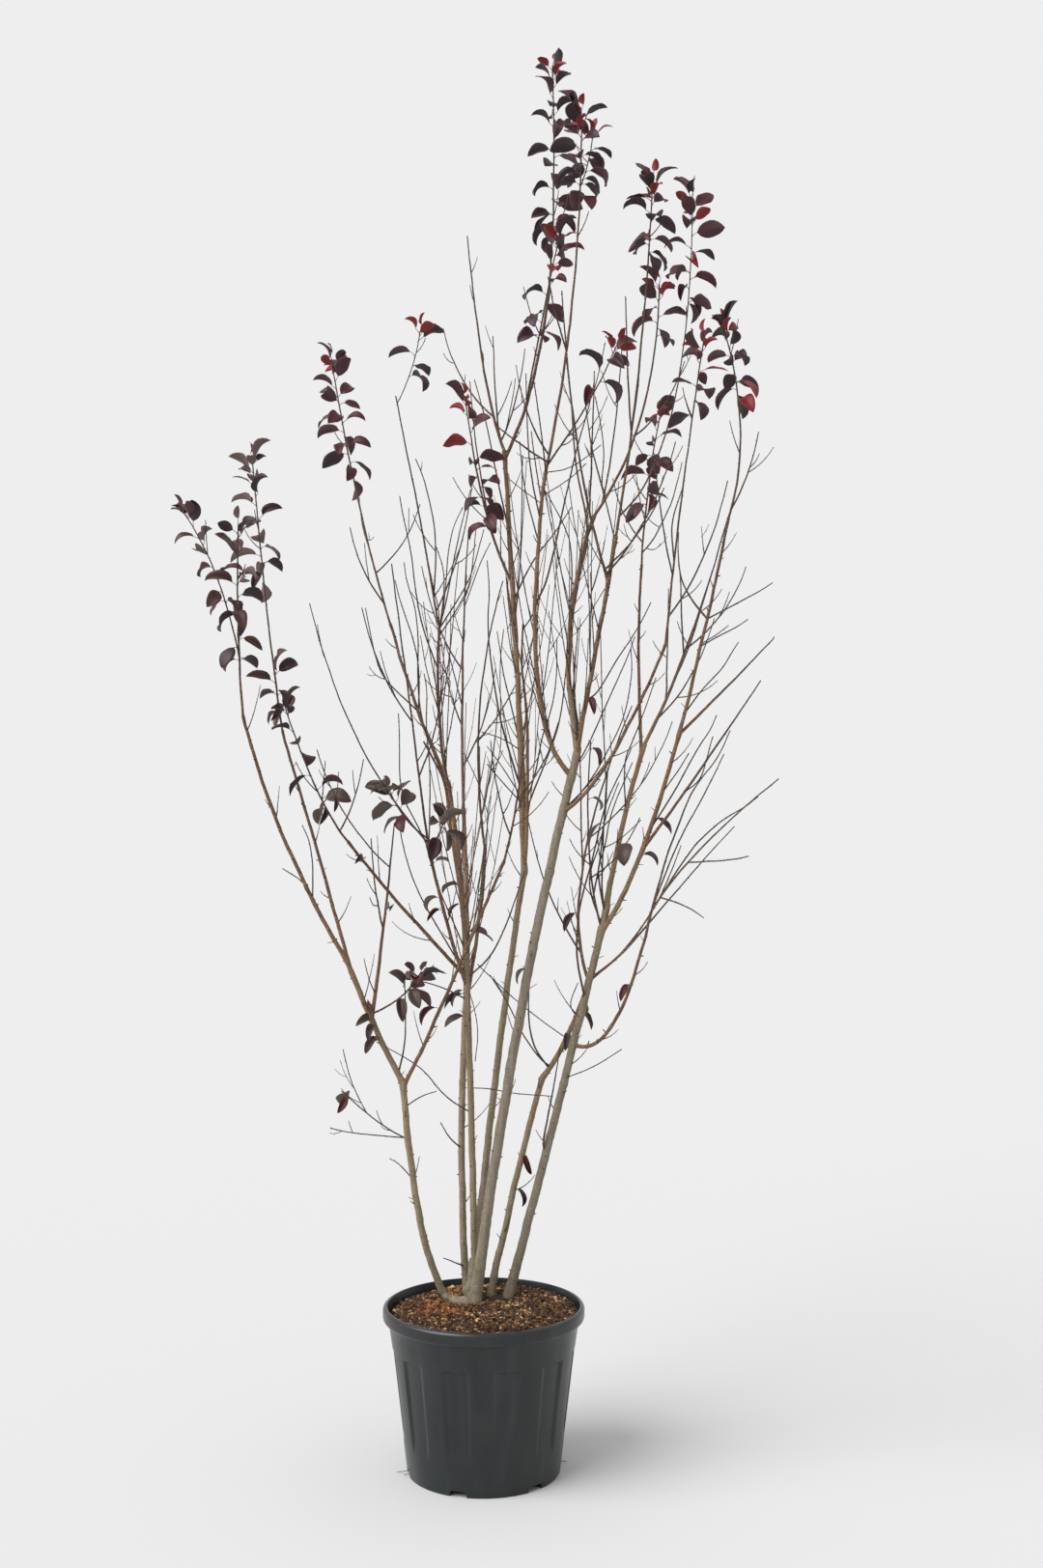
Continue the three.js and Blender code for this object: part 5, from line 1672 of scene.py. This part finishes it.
# %% Leaves that hang alone: carrier, height there, and the x and z their blades point to
LONE_LEAVES = [
    ("stem_6", 730, 122, 742),
    ("stem_6", 648, 96, 664),
    ("stem_5", 1205, 84, 1218),
    ("bough_1_right", 1300, 12, 1312),
    ("twigs_6_back", 1330, 192, 1338),
    ("bough_7_hook", 1170, 330, 1203),
    ("bough_6_bend", 1030, 200, 1048),
    ("bough_6_bend", 1120, 240, 1133),
    ("bough_6_bend", 1085, 262, 1100),
    ("twigs_7_left", 1740, 272, 1762),
    ("twigs_7_left", 1620, 292, 1642),
    ("bough_7_right", 1480, 424, 1502),
    ("bough_7_right", 1570, 446, 1592),
    ("bough_1_left", 1040, -292, 1052),
    ("bough_1_left", 1075, -272, 1090),
    ("spray_1_low", 890, -348, 902),
    ("bough_3_main", 1290, 15, 1315),
    ("stem_3", 1150, -182, 1178),
    ("stem_3", 1140, -151, 1163),
    ("stem_3", 1085, -155, 1106),
    ("bough_1_left", 1130, -273, 1148),
    ("bough_1_left", 1050, -303, 1064),
    ("bough_1_left", 1090, -292, 1102),
    ("bough_1_right", 1120, -216, 1148),
    ("spray_1_mid", 1350, -235, 1367),
    ("bough_3_left", 1470, -299, 1492),
    ("bough_3_inner", 1465, -98, 1485),
    ("bough_3_inner", 1380, -129, 1398),
    ("bough_3_inner", 1350, -148, 1367),
    ("bough_3_main", 1405, -83, 1424),
    ("bough_3_main", 1360, -76, 1379),
    ("bough_5_right", 1860, 262, 1880),
]
print("leaves that hang alone:", len(LONE_LEAVES))

# %% Young leaves at the tips, and leaves that hang alone
YOUNG_PER_TIP = 4
YOUNG_FROM = 0.94
YOUNG_LEAN, LAST_LEAN = 1.15, 0.1
YOUNG_SIZE, LESS_AT_TIP = 0.75, 0.25
LONE_SIZE, MORE_SIZE = 0.65, 0.35
LONE_WIDTH = 0.75
# A leaf's share is its place along its run, from 0 for the oldest, so the young are past 1.
YOUNG_SHARE, LONE_SHARE = 1.2, 0.0

roll = seeded(555)
young = []
for name, mass in masses.items():
    for k, shoot in enumerate(mass.shoots):
        spray = f"{name}_{k}"
        mine = [one for one in leaves if one.spray == spray]
        if len(mine) < 3:
            continue
        for j in range(YOUNG_PER_TIP):
            share = j / (YOUNG_PER_TIP - 1)
            t = YOUNG_FROM + (1 - YOUNG_FROM) * share
            lean = YOUNG_LEAN if j < YOUNG_PER_TIP - 1 else LAST_LEAN
            out = way_out(shoot, t, j * GOLDEN_ANGLE + roll(), lean)
            root = point_on(shoot, t)
            size = YOUNG_SIZE - LESS_AT_TIP * share
            long, wide = LEAF_LENGTH * size, LEAF_WIDTH * size
            young.append(Leaf(root, out, long, wide, spray, YOUNG_SHARE))
lone = []
for carrier, height, x, z in LONE_LEAVES:
    one = limbs[carrier]
    root = point_on(one, station_at(one, height))
    aim = from_front(x, z, root.y - 20)
    out = (aim - root).normalized() + Vector((0, -0.2, -0.1))
    size = LONE_SIZE + MORE_SIZE * roll()
    long, wide = LEAF_LENGTH * size, LEAF_WIDTH * size * LONE_WIDTH
    out.normalize()
    lone.append(Leaf(root, out, long, wide, "lone_" + carrier, LONE_SHARE))
print("young leaves:", len(young), "and leaves alone:", len(lone))

# %% A second, smaller leaf beside some, from the same bud
PAIR_SHARE = 0.25

pairs = []
for one in leaves:
    if roll() < PAIR_SHARE:
        out = Quaternion((0, 0, 1), 1.1 + 1.2 * roll()) @ one.out
        out.z -= 0.3 * roll()
        size = 0.6 + 0.3 * roll()
        out.normalize()
        pairs.append(one._replace(out=out, length=one.length * size, width=one.width * size))
print("leaves of the rule:", len(leaves), "and paired leaves:", len(pairs))

# %% The stalk rises and arches over, and the older a leaf the more its blade hangs
STALK_LENGTH = 14
STALK_RADIUS, STALK_FOOT = 0.7, 1.2
STALK_SIDES = 5
OLD_HANG = 1.5


def on_its_stalk(one):
    """The leaf's stalk as a path, and the leaf as it hangs from the stalk's end."""
    age = max(0.0, 1 - one.share)
    level = Vector((one.out.x, one.out.y, 0.001)).normalized()
    rise = one.out * 0.5 + level * 0.3 + Vector((0, 0, 0.55))
    turned_over = one.root + rise * STALK_LENGTH * 0.6
    droop = OLD_HANG * age * (0.25 + roll()) if one.share <= 1 else 0.0
    hanging = (one.out - Vector((0, 0, droop))).normalized()
    end = turned_over + (rise + hanging) * STALK_LENGTH * 0.25
    stalk = [(one.root, STALK_FOOT), (turned_over, STALK_RADIUS), (end, STALK_RADIUS)]
    return smooth_path(stalk, 2), one._replace(root=end, out=hanging)


# %% Deal the leaves out to their colours, an upper and an under side, and bend each one
LEAF_COLOURS = {
    "plum": ("#2a0a0f", "#35262a"),
    "wine": ("#3f0d13", "#462b2e"),
    "bronze": ("#442a27", "#64534f"),
    "dull": ("#3c2b26", "#5c5049"),
    "red": ("#6e0f18", "#782326"),
}
LEAF_ROUGHNESS = (0.5, 0.7)
LEAF_IOR = 1.42
ODD_SHARE = 0.25
BRONZE_SHARE = 0.6
RED_ABOVE = 2480
RED_SHARE = 0.02
DULL_BELOW = 1700
DULL_SHARE = 0.7
OPEN_SHARE, LONE_OPEN_SHARE = 0.65, 0.1
MOST_TRIES, SMALLER = 6, 0.85

dealt = {colour: [] for colour in LEAF_COLOURS}
stalks = new_wood()
sprays = []
age_roll = seeded(556)
for one in [*leaves, *young, *lone, *pairs]:
    if one.spray not in sprays:
        sprays.append(one.spray)
    tint = ["plum", "wine"][(sprays.index(one.spray) + (roll() < ODD_SHARE)) % 2]
    if one.spray.startswith("foliage_1") and roll() < BRONZE_SHARE:
        tint = "bronze"
    if one.root.z > RED_ABOVE and (one.share > 1 or roll() < RED_SHARE):
        tint = "red"
    if one.root.z < DULL_BELOW and age_roll() < DULL_SHARE:
        tint = "dull"
    stalk, hung = on_its_stalk(one)
    opened = LONE_OPEN_SHARE if one.spray.startswith("lone") else OPEN_SHARE
    fold = 0.1 + 0.4 * roll() if roll() < opened else 0.6 + 0.5 * roll()
    arch = 0.6 + 1.4 * roll()
    spin = 2.2 * (roll() - 0.5)
    curl = 1.6 * (roll() - 0.5)
    for _ in range(MOST_TRIES):
        points = bent_blade(hung, fold, arch, spin, curl)
        if in_box(points):
            break
        hung = hung._replace(length=hung.length * SMALLER, width=hung.width * SMALLER)
    else:
        continue
    dealt[tint].append(points)
    roll_tube(stalks, stalk, STALK_SIDES)
for colour, copies in dealt.items():
    finishes = []
    for face, code, rough in zip(("upper", "under"), LEAF_COLOURS[colour], LEAF_ROUGHNESS):
        finishes.append(new_finish(f"leaf_{colour}_{face}", code, Roughness=rough, IOR=LEAF_IOR))
    mesh = join_copies("leaves_" + colour, blade_faces, blade_finishes, copies)
    place_piece("leaves_" + colour, mesh, finishes)
leaf_stalk = new_finish("leaf_stalk", "#5b262b", Roughness=0.5, IOR=LEAF_IOR)
place_piece("leaf_stalks", as_mesh(stalks, "leaf_stalks"), [leaf_stalk])
print("leaves in all:", sum(len(copies) for copies in dealt.values()))

# %% Print the imported model's size
print("packed size:  ", [round(b - a, 4) for a, b in zip(cad_low, cad_high)])
